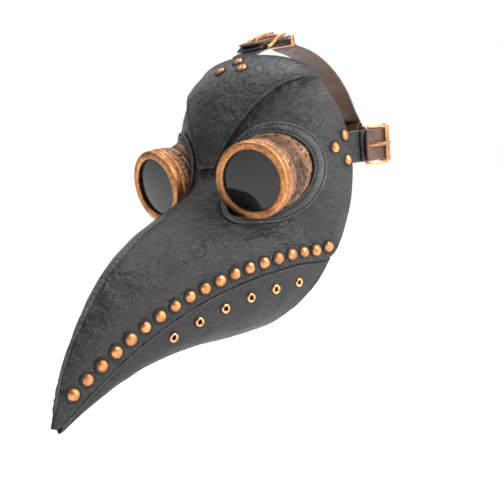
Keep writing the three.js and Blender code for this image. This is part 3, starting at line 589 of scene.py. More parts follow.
# %% Build the tree for fasteners and stitches
def fastener_tree():
    tree = bpy.data.node_groups.new("set_in_a_row", "GeometryNodeTree")
    face = tree.interface
    face.new_socket(name="Places", in_out="INPUT", socket_type="NodeSocketGeometry")
    face.new_socket(name="Shape", in_out="INPUT", socket_type="NodeSocketObject")
    for label in ("Smallest", "Largest", "Turn", "Dent"):
        face.new_socket(name=label, in_out="INPUT", socket_type="NodeSocketFloat")
    face.new_socket(name="Finish", in_out="INPUT", socket_type="NodeSocketMaterial")
    face.new_socket(name="Set pieces", in_out="OUTPUT", socket_type="NodeSocketGeometry")

    def node(kind, settings=None, sockets=None):
        made = tree.nodes.new(kind)
        for name, setting in (settings or {}).items():
            setattr(made, name, setting)
        for name, value in (sockets or {}).items():
            if isinstance(value, bpy.types.NodeSocket):
                tree.links.new(value, made.inputs[name])
            else:
                made.inputs[name].default_value = value
        return made

    given = node("NodeGroupInput")
    shape = node("GeometryNodeObjectInfo", sockets={"Object": given.outputs["Shape"]})
    vector = {"data_type": "FLOAT_VECTOR"}
    facing = node("GeometryNodeInputNamedAttribute", vector, {"Name": "facing"})
    along = node("GeometryNodeInputNamedAttribute", vector, {"Name": "along"})
    stand = node("FunctionNodeAlignRotationToVector", {"axis": "Z"}, {"Vector": facing.outputs["Attribute"]})
    line_up = node("FunctionNodeAlignRotationToVector", {"axis": "X", "pivot_axis": "Z"},
                   {"Rotation": stand.outputs[0], "Vector": along.outputs["Attribute"]})
    size = node("FunctionNodeRandomValue", {"data_type": "FLOAT"},
                {2: given.outputs["Smallest"], 3: given.outputs["Largest"], "Seed": 5})
    turn = node("FunctionNodeRandomValue", {"data_type": "FLOAT"}, {2: -1.0, 3: 1.0, "Seed": 8})
    amount = node("ShaderNodeMath", {"operation": "MULTIPLY"}, {0: turn.outputs[1], 1: given.outputs["Turn"]})
    spin = node("ShaderNodeCombineXYZ", sockets={"Z": amount.outputs[0]})
    turned = node("FunctionNodeRotateRotation", {"rotation_space": "LOCAL"},
                  {0: line_up.outputs[0], 1: spin.outputs[0]})
    placed = node("GeometryNodeInstanceOnPoints", sockets={
        "Points": given.outputs["Places"], "Instance": shape.outputs["Geometry"],
        "Rotation": turned.outputs[0], "Scale": size.outputs[1]})
    real = node("GeometryNodeRealizeInstances", sockets={"Geometry": placed.outputs[0]})
    lumps = node("ShaderNodeTexNoise", sockets={"Scale": 260.0, "Detail": 2.0})
    centred = node("ShaderNodeMath", {"operation": "SUBTRACT"}, {0: lumps.outputs[0], 1: 0.5})
    depth = node("ShaderNodeMath", {"operation": "MULTIPLY"},
                 {0: centred.outputs[0], 1: given.outputs["Dent"]})
    normal = node("GeometryNodeInputNormal")
    push = node("ShaderNodeVectorMath", {"operation": "SCALE"},
                {0: normal.outputs[0], "Scale": depth.outputs[0]})
    dented = node("GeometryNodeSetPosition", sockets={"Geometry": real.outputs[0], "Offset": push.outputs[0]})
    smooth = node("GeometryNodeSetShadeSmooth", sockets={"Geometry": dented.outputs[0]})
    finished = node("GeometryNodeSetMaterial",
                    sockets={"Geometry": smooth.outputs[0], "Material": given.outputs["Finish"]})
    out = node("NodeGroupOutput")
    tree.links.new(finished.outputs[0], out.inputs[0])
    return tree


set_in_a_row = fastener_tree()
print("tree:", set_in_a_row.name, len(set_in_a_row.nodes), "nodes")

# %% A row of set pieces as one plain mesh
def plain_object(name, points, faces):
    points = np.asarray(points, float)
    if faces and signed_volume(points, faces) < 0:
        faces = [tuple(reversed(face)) for face in faces]
    mesh = bpy.data.meshes.new(name)
    mesh.from_pydata(points.tolist(), [], [tuple(map(int, face)) for face in faces])
    return bpy.data.objects.new(name, mesh)


def row_of(name, shape, places, facing, along, finish, sizes=(1, 1), turn=0.0, dent=0.0, body="mask",
           stands_for=()):
    """The shape set at each place, facing out and lined up with along."""
    cloud = plain_object(name + "_places", places.reshape(-1, 3), [])
    for label, vectors in (("facing", facing), ("along", along)):
        layer = cloud.data.attributes.new(label, "FLOAT_VECTOR", "POINT")
        layer.data.foreach_set("vector", np.asarray(vectors, dtype=np.float32).ravel())
    bpy.context.scene.collection.objects.link(cloud)
    bpy.context.scene.collection.objects.link(shape)
    setting = cloud.modifiers.new("set", "NODES")
    setting.node_group = set_in_a_row
    wanted = {"Shape": shape, "Smallest": float(sizes[0]), "Largest": float(sizes[1]), "Turn": float(turn),
              "Dent": float(dent), "Finish": finish}
    for socket in set_in_a_row.interface.items_tree:
        if socket.in_out == "INPUT" and socket.name in wanted:
            setting[socket.identifier] = wanted[socket.name]
    bpy.context.view_layer.update()
    depsgraph = bpy.context.evaluated_depsgraph_get()
    mesh = bpy.data.meshes.new_from_object(cloud.evaluated_get(depsgraph))
    mesh.name = name
    cloud.modifiers.clear()
    bpy.data.objects.remove(cloud)
    bpy.context.scene.collection.objects.unlink(shape)
    piece = bpy.data.objects.new(name, mesh)
    bpy.context.scene.collection.objects.link(piece)
    return dress(piece, None, body, stands_for)


def lathe_points(profile, segments):
    """Rings of a [radius, height] profile about Z, in millimetres, for pattern shapes."""
    angles = np.linspace(0, 2 * math.pi, segments, endpoint=False)
    profile = np.asarray(profile, float)
    rings = [[(r * math.cos(a), r * math.sin(a), h) for a in angles] for r, h in profile]
    return np.array(rings) * MM


def lathe_shape(name, profile, segments, closed=True):
    rings = lathe_points(profile, segments)
    return plain_object(name, rings.reshape(-1, 3), tube_faces(len(rings), segments, closed))


rivet_dome = lathe_shape("rivet_dome", [(0.05, 2.35), (1.0, 2.3), (2.1, 2.05), (3.1, 1.6), (3.9, 1.0),
                                        (4.4, 0.35), (4.5, -0.15), (4.1, -0.35), (0.05, -0.35)], 24,
                         closed=False)
# A thin ring laid round each rivet and eyelet head. It carries painted shade for the gap under the head.
wax_ring = lathe_shape("wax_ring", [(4.2, 0.25), (4.75, 0.34), (5.2, 0.24), (5.55, 0.0), (5.2, -0.5),
                                    (4.2, -0.5)], 24)
small_dome = lathe_shape("small_rivet_dome", [(0.05, 2.1), (1.2, 2.0), (2.4, 1.7), (3.5, 1.1), (4.2, 0.4),
                                              (4.3, -0.2), (3.9, -0.4), (0.05, -0.4)], 24, closed=False)
eyelet_roll = lathe_shape("eyelet_roll", [(1.75, 0.2), (1.85, 0.75), (2.3, 1.1), (2.9, 1.15), (3.4, 0.85),
                                          (3.7, 0.35), (3.6, 0.0), (2.6, -0.1), (2.15, -0.6), (2.1, -4.2),
                                          (1.7, -4.2), (1.65, -1.0)], 24)
stitch_bar = plain_object("stitch", [
    (x * MM, y * MM, z * MM)
    for x, w, h in ((-1.25, 0.4, -0.3), (-0.8, 0.75, 0.12), (0, 0.8, 0.2), (0.8, 0.75, 0.12),
                    (1.25, 0.4, -0.3))
    for y, z in ((-w, h - 0.15), (0, h + 0.1), (w, h - 0.15), (0, h - 0.6))], tube_faces(5, 4, closed=False))
print("patterns:", [len(pattern.data.vertices) for pattern in (rivet_dome, eyelet_roll, stitch_bar)])

# %% Where the rivets and eyelets go
RIVET_ROW = {"count": 19, "from_seam": (9.5, 9.5), "reach": (0.455, 0.948)}
EYELET_ROW = {"count": 6, "from_seam": (14.5, 11.5), "reach": (0.545, 0.785)}


def along_seam(row, q):
    """Places spread evenly along the mouth seam, at a distance to one side of it."""
    u = np.linspace(*row["reach"], 121)
    apart = np.linspace(*row["from_seam"], 121) * MM
    at = np.full_like(u, q)
    du, _ = slopes(u, at)
    away = np.cross(normal_at(u, at), du) * (-1 if q < 1 else 1)
    u, q = walk(u, at, away, apart)
    points = skin(u, q)
    length = np.concatenate([[0], np.cumsum(np.linalg.norm(np.diff(points, axis=0), axis=1))])
    even = np.linspace(0, length[-1], row["count"])
    return np.interp(even, length, u), np.interp(even, length, q)


rivet_places = along_seam(RIVET_ROW, 0.999)
eyelet_places = along_seam(EYELET_ROW, 1.001)
temple_targets = np.array([(80, -8, 36), (80, -22, 26), (80, -8, 16)]) * MM
temple_places = settle(temple_targets, np.full(3, 0.22), np.full(3, 0.9))
for number, (u, q) in enumerate(zip(*eyelet_places), 1):
    low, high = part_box(f"eyelet_{number}_left")
    if number in (1, 6):
        off = raised(u, q, -LEATHER) - (np.array(low) + np.array(high)) / 2
        print("eyelet", number, "off by mm", np.round(off / MM, 2))

# %% [markdown]
# ## The shell
# Two side panels, cut, wet-formed over a last and joined down the nose. One sheet stands for both, 2.5 mm
# thick and skived thin towards the beak's tip. It has to keep clear holes for the eye tubes, so cells
# inside them are left out. What makes it leather and not plastic is in the shape too: shallow folds round
# the eyes and along the beak, a dip round every rivet where the head pulls it down, and a rolled lip along
# the seam.

# %% The eye's axis and the shell's relief
EYE = np.array((50, -98, 3)) * MM
SPLAY, PITCH = math.radians(12), math.radians(11)
eye_out = np.array((math.sin(SPLAY) * math.cos(PITCH), -math.cos(SPLAY) * math.cos(PITCH), -math.sin(PITCH)))
eye_across = unit(np.cross((0, 0, 1), eye_out))
eye_up = np.cross(eye_out, eye_across)
HOLE = 30.2 * MM
MIRROR = np.array((-1.0, 1, 1))


def from_eye(points):
    """Distance of each point from the nearer eye's axis."""
    distances = []
    for side in (np.ones(3), MIRROR):
        gap = points * side - EYE
        distances.append(np.linalg.norm(gap - (gap @ eye_out)[..., None] * eye_out, axis=-1))
    return np.minimum(*distances)


def nearest(points, centres):
    return np.min(np.linalg.norm(points[..., None, :] - centres, axis=-1), axis=-1)


def thin(u):
    """The leather is skived thinner towards the tip."""
    return LEATHER * np.clip((1 - u) / 0.3, 0.4, 1)


def bump_at(distance, width):
    return np.exp(-((distance / width) ** 2))


rivet_points = skin(*rivet_places)
rivet_points = np.vstack([rivet_points, rivet_points * MIRROR])
temple_points = skin(*temple_places)
temple_points = np.vstack([temple_points, temple_points * MIRROR])
print("rivets in all:", len(rivet_points) + len(temple_points))

# %% The shell itself
EDGE_STEPS = np.array((0, 0.12, 0.4, 0.8, 1.3, 2.2, 3.2, 4.4)) * MM
SHELL_ROWS, SHELL_COLUMNS = 230, 150


def shell():
    us = np.concatenate([[0, 0.0006, 0.002, 0.004, 0.0065, 0.01],
                         np.linspace(0.014, 0.998, SHELL_ROWS), [1.0]])
    seam_pace = np.linalg.norm(slopes(us, np.full_like(us, 1.0))[1], axis=-1)
    columns = []
    for u, pace in zip(us, seam_pace):
        steps = np.minimum(EDGE_STEPS / pace, np.linspace(0, 0.45, len(EDGE_STEPS)))
        columns.append(spread(-1, 1, SHELL_COLUMNS, steps))
    q = np.array(columns)
    u = np.repeat(us[:, None], q.shape[1], axis=1)
    base = skin(u, q)
    normal = normal_at(u, q)
    pace_u = np.linalg.norm(slopes(u, q)[0], axis=-1)
    from_seam = (1 - np.abs(q)) * seam_pace[:, None]
    from_rim = u * pace_u
    edge = np.minimum(from_seam, from_rim)
    eye = from_eye(base)
    rivets = nearest(base, rivet_points)
    temples = nearest(base, temple_points)

    stretched = base * np.array((1, 0.5, 1)) + np.array((0.3, 0.1, 0.7))
    folds = crumple(stretched, 11 * MM, 5)
    broad = crumple(base, 34 * MM, 3)
    beak = np.clip((u - 0.5) / 0.15, 0, 1)
    round_eye = bump_at(eye - 44 * MM, 14 * MM)
    height = (0.30 + 0.25 * round_eye - 0.12 * beak) * folds + 0.7 * broad * (1 - 0.6 * beak)
    height = height * MM * np.clip(edge / (9 * MM), 0.15, 1) * np.clip((1 - u) / 0.12, 0.2, 1)
    height -= 0.55 * MM * bump_at(rivets, 6.2 * MM) + 0.4 * MM * bump_at(temples, 6 * MM)
    mouth = (u > JAW - 0.03) & (u < 0.97)
    lip = np.where(mouth, bump_at(from_seam - 1.3 * MM, 1.0 * MM)
                   - 0.8 * bump_at(from_seam - 3.4 * MM, 0.9 * MM), 0)
    height += 0.45 * MM * lip * np.clip((1 - u) / 0.1, 0.2, 1)
    height += 0.35 * MM * bump_at(from_rim - 1.2 * MM, 1.3 * MM)

    thick = thin(u)
    half = thick / 2 * rounding(edge, 1.2 * MM)
    middle = height - thick / 2
    top = base + normal * (middle + half)[..., None]
    bottom = base + normal * (middle * 0.6 - 0.4 * thick / 2 - half)[..., None]
    centre = (eye[:-1, :-1] + eye[1:, 1:]) / 2
    keep = centre > HOLE
    # Paler near the rim and seam, round rivet rims, on fold crests and along the ridge of brow and nose:
    # partly rub, partly painted highlight.
    wear = np.clip(bump_at(edge - 0.5 * MM, 1.1 * MM) + 0.5 * bump_at(rivets - 6.4 * MM, 1.2 * MM)
                   + 0.35 * np.clip(folds, 0, 1), 0, 1)
    ridge_rub_and_highlight = 0.45 * bump_at(np.abs(q) * seam_pace[:, None], 8 * MM) * np.clip((0.62 - u) / 0.1, 0, 1)
    wear = np.clip(wear + ridge_rub_and_highlight, 0, 1)
    rows, width = q.shape
    points = np.concatenate([top.reshape(-1, 3), bottom.reshape(-1, 3)])
    faces = sheet_faces(rows, width, keep)
    made = make_piece("leather_shell", points, faces, shell_leather,
                      stands_for=("side_panel_left", "side_panel_right"),
                      values={"wear": np.concatenate([wear.ravel(), 0 * wear.ravel()])})
    line_inside(made, rows * width)
    return made


def line_inside(piece, first_under, finish=None):
    """The flesh side gets the suede finish: the faces whose corners all belong to the second grid."""
    piece.data.materials.append(finish or suede)
    for polygon in piece.data.polygons:
        if min(polygon.vertices) >= first_under:
            polygon.material_index = 1


shell_piece = shell()
print("shell:", len(shell_piece.data.polygons), "faces")

# %% [markdown]
# ## The jaw panel
# The lower half of the beak is a second, softer piece. Its top edge tucks behind the rivets, so the mouth
# reads as a dark line with a rolled lip on either side. The eyelets are real holes: cells under them are
# left out, and the rolled rims hide the cut.

# %% Make the jaw
JAW_END = 0.99


def jaw():
    us = np.concatenate([JAW + 0.004 + np.array((0, 0.0008, 0.002, 0.004, 0.007)),
                         np.linspace(JAW + 0.015, JAW_END - 0.01, 165),
                         JAW_END - np.array((0.006, 0.003, 0.001, 0.0))])
    pace = np.linalg.norm(slopes(us, np.full_like(us, 1.02))[1], axis=-1)
    inner = np.linalg.norm(slopes(us, np.full_like(us, 0.97))[1], axis=-1)
    rows = []
    for u, step, hidden in zip(us, pace, inner):
        tuck = float(np.clip((JAW_END - 0.01 - u) / 0.03, 0.05, 1))
        flange = [1 - min(4.4 * MM / hidden, 0.19) * tuck, 1 - min(2.2 * MM / hidden, 0.1) * tuck]
        edge = 1 + np.minimum(np.array((0.004, 0.02, 0.045, 0.075, 0.11)),
                              0.4 * MM * np.array((1, 3, 6, 10, 15)) / step)
        side = np.concatenate([flange, edge, np.linspace(edge[-1], 2, 42)[1:]])
        rows.append(np.concatenate([-side, side[::-1][1:]]))
    q = np.array(rows)
    u = np.repeat(us[:, None], q.shape[1], axis=1)
    base, normal = skin(u, q), normal_at(u, q)
    under_seam = (np.abs(q) - 1) * pace[:, None]
    from_end = np.minimum(u - us[0], us[-1] - u) * 520 * MM
    holes = nearest(base, np.vstack([skin(*eyelet_places), skin(*eyelet_places) * MIRROR]))
    broad = crumple(base + 0.4, 26 * MM, 4)
    folds = crumple(base * np.array((1, 0.6, 1)), 9 * MM, 4)
    tuck = -0.9 * MM * np.clip(1 - under_seam / (2 * MM), 0, 1)
    relief = (0.5 * broad + 0.16 * folds) * MM * np.clip(under_seam / (8 * MM), 0, 1)
    relief += (0.5 * MM * bump_at(under_seam - 2.4 * MM, 1.1 * MM)
               - 0.25 * MM * bump_at(under_seam - 5 * MM, 1.2 * MM))
    relief -= 0.4 * MM * bump_at(holes, 5.5 * MM)
    thick = thin(u)
    height = relief + tuck - np.where(np.abs(q) < 1, thick, 0) * 0.9 - 0.1 * thick
    height = np.where(np.abs(q) < 1, -(thick + 0.9 * MM), height)
    shrink = np.clip(from_end / (1.4 * MM), 0, 1)
    half = thick / 2 * rounding(shrink, 1.0)
    top = base + normal * (height - thick / 2 + half)[..., None]
    bottom = base + normal * (height - thick / 2 - half)[..., None]
    keep = (holes[:-1, :-1] + holes[1:, 1:]) / 2 > 2.6 * MM
    # Paler along the lip under the seam, the ends and round the eyelets: partly rub, partly painted
    # highlight.
    wear = np.clip(bump_at(under_seam - 1.8 * MM, 1.4 * MM) * (np.abs(q) > 1)
                   + 0.5 * bump_at(from_end, 2 * MM)
                   + 0.4 * bump_at(holes - 4.4 * MM, 1 * MM), 0, 1)
    count = q.size
    points = np.concatenate([top.reshape(-1, 3), bottom.reshape(-1, 3)])
    made = make_piece("jaw_panel_leather", points, sheet_faces(*q.shape, keep), jaw_leather,
                      stands_for=("jaw_panel",),
                      values={"wear": np.concatenate([wear.ravel(), 0 * wear.ravel()])})
    line_inside(made, count)
    return made


jaw_piece = jaw()
print("jaw:", len(jaw_piece.data.polygons), "faces")

# %% [markdown]
# ## The forehead panel
# A kite of leather lies over the brow. It narrows to a square end between the eyes and is stitched all
# along its edge, in a groove cut so that the thread lies below the surface. Both the raised edge and the
# groove are modelled, and the stitches follow the same line.

# %% Make the forehead panel and its stitches
FOREHEAD_END, NARROWING = 0.305, 8.25
FOREHEAD_LIFT = 2.8 * MM
GROOVE = 3.0 * MM


def forehead_edge(u):
    return 0.97 * np.exp(-NARROWING * u)


def forehead():
    step = np.array((0, 0.15, 0.5, 1.0, 1.5, 2.1, 2.6, 3.0, 3.4, 4.0, 5.0)) * MM
    run = np.linalg.norm(slopes(np.array([0.0, FOREHEAD_END]), np.zeros(2))[0], axis=-1)
    us = np.concatenate([step[:-1] / run[0],
                         np.linspace(step[-1] / run[0], FOREHEAD_END - step[-1] / run[1], 90),
                         (FOREHEAD_END - step[:-1] / run[1])[::-1]])
    rows = []
    for u in us:
        edge = forehead_edge(u)
        pace = np.linalg.norm(slopes(np.array([u]), np.array([edge]))[1])
        near = np.minimum(step * 1.25 / pace, np.linspace(0, 0.8 * edge, len(step)))
        rows.append(spread(-edge, edge, 60, near))
    q = np.array(rows)
    u = np.repeat(us[:, None], q.shape[1], axis=1)
    base, normal = skin(u, q), normal_at(u, q)
    pace = np.linalg.norm(slopes(u, q)[1], axis=-1)
    side = (forehead_edge(u) - np.abs(q)) * pace / 1.25
    lower = (FOREHEAD_END - u) * run[1]
    upper = u * run[0]
    edge = np.minimum(np.minimum(side, lower), upper)
    sewn = np.minimum(side, lower)
    crowns = nearest(base, skin(*crown_places))
    folds = crumple(base * np.array((0.6, 1, 1)) + 0.9, 9 * MM, 5)
    broad = crumple(base + 0.2, 30 * MM, 3)
    height = (0.26 * folds + 0.6 * broad) * MM * np.clip((edge - 4 * MM) / (9 * MM), 0.1, 1)
    height -= 0.45 * MM * bump_at(sewn - GROOVE, 0.75 * MM) - 0.3 * MM * bump_at(sewn - 1.3 * MM, 1.0 * MM)
    height += 0.3 * MM * bump_at(upper - 1.4 * MM, 1.2 * MM)
    height -= 0.4 * MM * bump_at(crowns, 6 * MM)
    half = LEATHER / 2 * rounding(edge, 1.2 * MM)
    middle = height + FOREHEAD_LIFT - 1.9 * MM + LEATHER / 2
    top = base + normal * (middle + half)[..., None]
    bottom = base + normal * (FOREHEAD_LIFT - 1.8 * MM + LEATHER / 2 - half)[..., None]
    # Paler along the edges and on fold crests: partly rub, partly painted highlight.
    wear = np.clip(0.8 * bump_at(edge - 0.8 * MM, 0.8 * MM) + 0.35 * np.clip(folds, 0, 1), 0, 1)
    points = np.concatenate([top.reshape(-1, 3), bottom.reshape(-1, 3)])
    made = make_piece("forehead_leather", points, sheet_faces(*q.shape), panel_leather,
                      stands_for=("forehead_panel",),
                      values={"wear": np.concatenate([wear.ravel(), 0 * wear.ravel()])})
    line_inside(made, q.size)
    return made


def point_on(points, length, at):
    """The places on a line of points at these lengths along it."""
    return np.stack([np.interp(at, length, points[:, k]) for k in range(3)], axis=-1)


def evenly(points, pace, closed=False):
    """Points a fixed distance apart on a line, and the way the line runs at each."""
    if closed:
        points = np.vstack([points, points[:1]])
    length = np.concatenate([[0], np.cumsum(np.linalg.norm(np.diff(points, axis=0), axis=1))])
    count = max(int(length[-1] / pace), 2)
    at = np.linspace(0, length[-1], count, endpoint=not closed)
    step = 0.3 * MM
    ahead = (point_on(points, length, np.minimum(at + step, length[-1]))
             - point_on(points, length, np.maximum(at - step, 0)))
    return point_on(points, length, at), unit(ahead), at / length[-1]


def crown_row():
    rim = np.array([0.002]), np.array([0.0])
    places = []
    for x, from_rim in ((0, 8), (11, 20), (-11, 20)):
        u, _ = walk(*rim, slopes(*rim)[0], np.array([from_rim * MM]))
        sideways = np.array([[1.0 if x >= 0 else -1.0, 0, 0]])
        places.append(walk(u, np.zeros(1), sideways, np.array([max(abs(x), 0.001) * MM])))
    return tuple(np.concatenate(pair) for pair in zip(*places))


crown_places = crown_row()
forehead_piece = forehead()
print("forehead:", len(forehead_piece.data.polygons), "faces")

FOREHEAD_STITCH = 3.3 * MM


def forehead_stitches():
    us = np.linspace(0.02, FOREHEAD_END - 0.011, 160)
    pace = np.linalg.norm(slopes(us, forehead_edge(us))[1], axis=-1)
    q = forehead_edge(us) - GROOVE * 1.25 / pace
    across = np.linspace(q[-1], -q[-1], 12)[1:-1]
    u_all = np.concatenate([us, np.full_like(across, us[-1]), us[::-1]])
    q_all = np.concatenate([q, across, -q[::-1]])
    places, along, share = evenly(skin(u_all, q_all), FOREHEAD_STITCH)
    u = np.interp(share, np.linspace(0, 1, len(u_all)), u_all)
    u, q = settle(places, u, np.interp(share, np.linspace(0, 1, len(u_all)), q_all))
    return row_of("forehead_stitches", stitch_bar, raised(u, q, np.full_like(u, FOREHEAD_LIFT + 0.5 * MM)),
                  normal_at(u, q), along, linen, (0.85, 1.0), 0.12)


sewn_forehead = forehead_stitches()
print("stitches:", len(sewn_forehead.data.polygons) // len(stitch_bar.data.polygons))

# %% [markdown]
# ## The ridge binding
# Down the beak the two sides are drawn together with a narrow binding that has puckered between the
# stitches. A rounded strip is swept along the ridge, and its height rises and falls a little at each
# stitch.

# %% Make the ridge binding
def ridge_binding():
    us = np.linspace(0.56, 0.985, 520)
    foot, out = raised(us, 0 * us, np.full_like(us, -0.4 * MM)), normal_at(us, 0 * us)
    length = np.concatenate([[0], np.cumsum(np.linalg.norm(np.diff(foot, axis=0), axis=1))])
    pucker = np.abs(np.sin(length / (4.6 * MM) * math.pi)) ** 0.7
    lumps = crumple(foot + 0.6, 3 * MM, 3)
    ends = np.clip(np.minimum(us - us[0], us[-1] - us) / 0.012, 0.15, 1)
    wide = (1.25 + 0.35 * pucker + 0.12 * lumps) * MM * ends
    high = (1.35 + 0.65 * pucker + 0.25 * lumps) * MM * ends
    angles = np.linspace(0, 2 * math.pi, 16, endpoint=False)
    rings = []
    for at, n, w, h in zip(foot, out, wide, high):
        rings.append([at + np.array((w * math.cos(a), 0, 0))
                      + n * h * (math.sin(a) if a < math.pi else 0.4 * math.sin(a)) for a in angles])
    points = np.array(rings)
    # The outer half of the binding is painted paler, most on each pucker: partly rub, partly painted
    # highlight.
    wear = np.repeat((0.25 + 0.65 * pucker)[:, None], len(angles), axis=1) * np.clip(np.sin(angles), 0, 1)
    return make_piece("ridge_binding_leather", points.reshape(-1, 3),
                      tube_faces(len(rings), len(angles), False), patch_leather,
                      stands_for=("ridge_binding",), values={"wear": wear})


binding = ridge_binding()
print("binding:", len(binding.data.polygons), "faces")

# %% [markdown]
# ## Round the eyes
# An oval leather patch is sewn round each eye with two rows of thread, wide towards the cheek and narrow
# towards the nose. A ring of the same leather backs it inside. We walk outwards over the skin from the
# hole, so the patch hugs the cheek whatever its slope.

# %% The places round an eye
AROUND = 144
angles_round = np.linspace(0, 2 * math.pi, AROUND, endpoint=False)
towards_cheek = 0.5 + 0.5 * np.cos(angles_round)


def ring_places(radius):
    """Places on the skin round the left eye, on a tube of that radius."""
    spoke = np.cos(angles_round)[:, None] * eye_across + np.sin(angles_round)[:, None] * eye_up
    target = EYE + spoke * radius
    return settle(target, np.full(AROUND, 0.3), np.full(AROUND, 0.45), eye_out)


def outward_from(u, q):
    points = skin(u, q)
    run = np.roll(points, -1, axis=0) - np.roll(points, 1, axis=0)
    return -np.cross(normal_at(u, q), run)


def widths(distances, full):
    """Places at growing shares of a width from the hole, walked a little at a time."""
    u, q = ring_places(30.4 * MM)
    rows, before = [], 0.0
    for share in distances:
        if share > before:
            for _ in range(2):
                u, q = walk(u, q, outward_from(u, q), full * (share - before) / 2)
        before = share
        rows.append((u, q))
    return np.array([row[0] for row in rows]), np.array([row[1] for row in rows])


def both_sides(name, points, faces, finish, bodies=("mask", "mask"), nodes=(), values=None,
               inside=None):
    """The same piece for the left eye and, mirrored, for the right one."""
    made = []
    for (side, sign), body in zip(SIDES, bodies):
        stands = tuple(f"{node}_{side}" for node in nodes)
        piece = make_piece(f"{name}_{side}", points * np.array((sign, 1, 1)), faces, finish, body, stands,
                           values)
        if inside:
            line_inside(piece, inside)
        made.append(piece)
    return made


SHARES = np.array((0, 0.015, 0.05, 0.1, 0.16, 0.22, 0.28, 0.36, 0.46, 0.56, 0.66, 0.74, 0.8, 0.86, 0.91,
                   0.955, 0.985, 1))
patch_width = (1.8 + 9.2 * towards_cheek**0.8) * MM
PATCH_THICK = 2.2 * MM
STITCH_INSET = 2.1 * MM
PATCH_STITCH = 3.0 * MM


def eye_patches():
    u, q = widths(SHARES, patch_width)
    base, normal = skin(u, q), normal_at(u, q)
    share = np.repeat(SHARES[:, None], AROUND, axis=1)
    distance = share * patch_width
    edge = np.minimum(distance, patch_width - distance)
    folds = crumple(base + 1.3, 7 * MM, 4)
    height = 0.14 * MM * folds - 0.45 * MM * bump_at(edge - 2.1 * MM, 0.75 * MM)
    height += 0.25 * MM * bump_at(distance - 0.5 * patch_width, 2 * MM)
    half = PATCH_THICK / 2 * rounding(edge, 1.0 * MM)
    middle = PATCH_THICK / 2 + 0.15 * MM
    top = base + normal * (middle + height + half)[..., None]
    bottom = base + normal * (middle - half)[..., None]
    # Paler along both edges and on fold crests: partly rub, partly painted highlight.
    wear = np.clip(0.85 * bump_at(edge - 0.8 * MM, 0.8 * MM) + 0.3 * np.clip(folds, 0, 1), 0, 1)
    points = np.concatenate([top.reshape(-1, 3), bottom.reshape(-1, 3)])
    return both_sides("eye_patch", points, sheet_faces(len(SHARES), AROUND, wrap=True), patch_leather,
                      nodes=("eye_patch",),
                      values={"wear": np.concatenate([wear.ravel(), 0 * wear.ravel()])})


def eye_backings():
    shares = np.array((0, 0.04, 0.14, 0.5, 0.86, 0.96, 1))
    width = np.full(AROUND, 7 * MM)
    u, q = widths(shares, width)
    edge = np.minimum(shares, 1 - shares)[:, None] * width
    half = 0.8 * MM * rounding(edge, 0.8 * MM)
    normal, base = normal_at(u, q), skin(u, q)
    points = np.concatenate([(base + normal * (half - 5 * MM)[..., None]).reshape(-1, 3),
                             (base - normal * (half + 5 * MM)[..., None]).reshape(-1, 3)])
    return both_sides("eye_backing", points, sheet_faces(len(shares), AROUND, wrap=True), suede,
                      nodes=("eye_retainer",))


patches = eye_patches()
eye_backings()
print("patch:", len(patches[0].data.polygons), "faces")

# %% Two rows of stitches in each patch, and the burnished roll inside it
def patch_stitches():
    made = []
    for side, sign in SIDES:
        flip = np.array((sign, 1, 1))
        places, facing, along = [], [], []
        for outer_row in (False, True):
            inset_share = np.minimum(STITCH_INSET / patch_width, 0.45)
            share = 1 - inset_share if outer_row else inset_share
            u, q = widths((0.0, 1.0), patch_width * share)
            line = raised(u[1], q[1], np.full(AROUND, PATCH_THICK + 0.16 * MM))
            at, run, part = evenly(line, PATCH_STITCH, closed=True)
            turn = part * AROUND
            ring_normal = normal_at(u[1], q[1])
            out = point_on(np.vstack([ring_normal, ring_normal[:1]]), np.arange(AROUND + 1), turn)
            keep = 0.5 + 0.5 * np.cos(part * 2 * math.pi) > 0.2
            places.append(at[keep])
            facing.append(out[keep])
            along.append(run[keep])
        places, facing, along = (np.vstack(rows) * flip for rows in (places, facing, along))
        made.append(row_of(f"patch_stitches_{side}", stitch_bar, places, facing, along, linen,
                           (0.8, 0.95), 0.12))
    return made


def eye_rolls():
    u, q = ring_places(30.3 * MM)
    centre = raised(u, q, np.full(AROUND, 1.5 * MM))
    normal, out = normal_at(u, q), unit(outward_from(u, q))
    turns = np.linspace(0, 2 * math.pi, 12, endpoint=False)
    lumps = 1 + 0.12 * crumple(centre, 5 * MM, 3)
    rings = np.array([[c + (o * math.cos(t) + n * math.sin(t) * 1.25) * 1.15 * MM * s for t in turns]
                      for c, n, o, s in zip(centre, normal, out, lumps)])
    return both_sides("eye_roll", rings.reshape(-1, 3), tube_faces(AROUND, len(turns)), roll_leather)


def eye_seals():
    """A dark gusset inside the shell, from the edge of the hole to the tube behind the ring."""
    u, q = ring_places(30.4 * MM)
    foot = (skin(u, q) - EYE) @ eye_out
    one = np.ones(AROUND)
    deep = np.minimum(foot - 5 * MM, -21.5 * MM)
    profile = [(32.2, foot - 2.75 * MM), (31.4, foot * 0.7 + deep * 0.3 - 2.2 * MM),
               (29.6, foot * 0.25 + deep * 0.75), (28.5, deep), (28.5, deep - 0.9 * MM),
               (29.8, foot * 0.25 + deep * 0.75 - 1 * MM),
               (31.6, foot * 0.7 + deep * 0.3 - 3.1 * MM), (32.3, foot - 3.6 * MM)]
    points = np.array([about_eye(radius * MM * one, depth, angles_round) for radius, depth in profile])
    return both_sides("eye_gusset", points.reshape(-1, 3), tube_faces(len(profile), AROUND), roll_leather)


def about_eye(radius, depth, angles):
    """Points at a radius and at a depth along the left eye's axis, in metres."""
    spoke = np.cos(angles)[:, None] * eye_across + np.sin(angles)[:, None] * eye_up
    return EYE + spoke * np.asarray(radius)[..., None] + eye_out * np.asarray(depth)[..., None]


sewn_patches = patch_stitches()
eye_rolls()
eye_seals()
print("stitches on a patch:", len(sewn_patches[0].data.polygons) // len(stitch_bar.data.polygons))

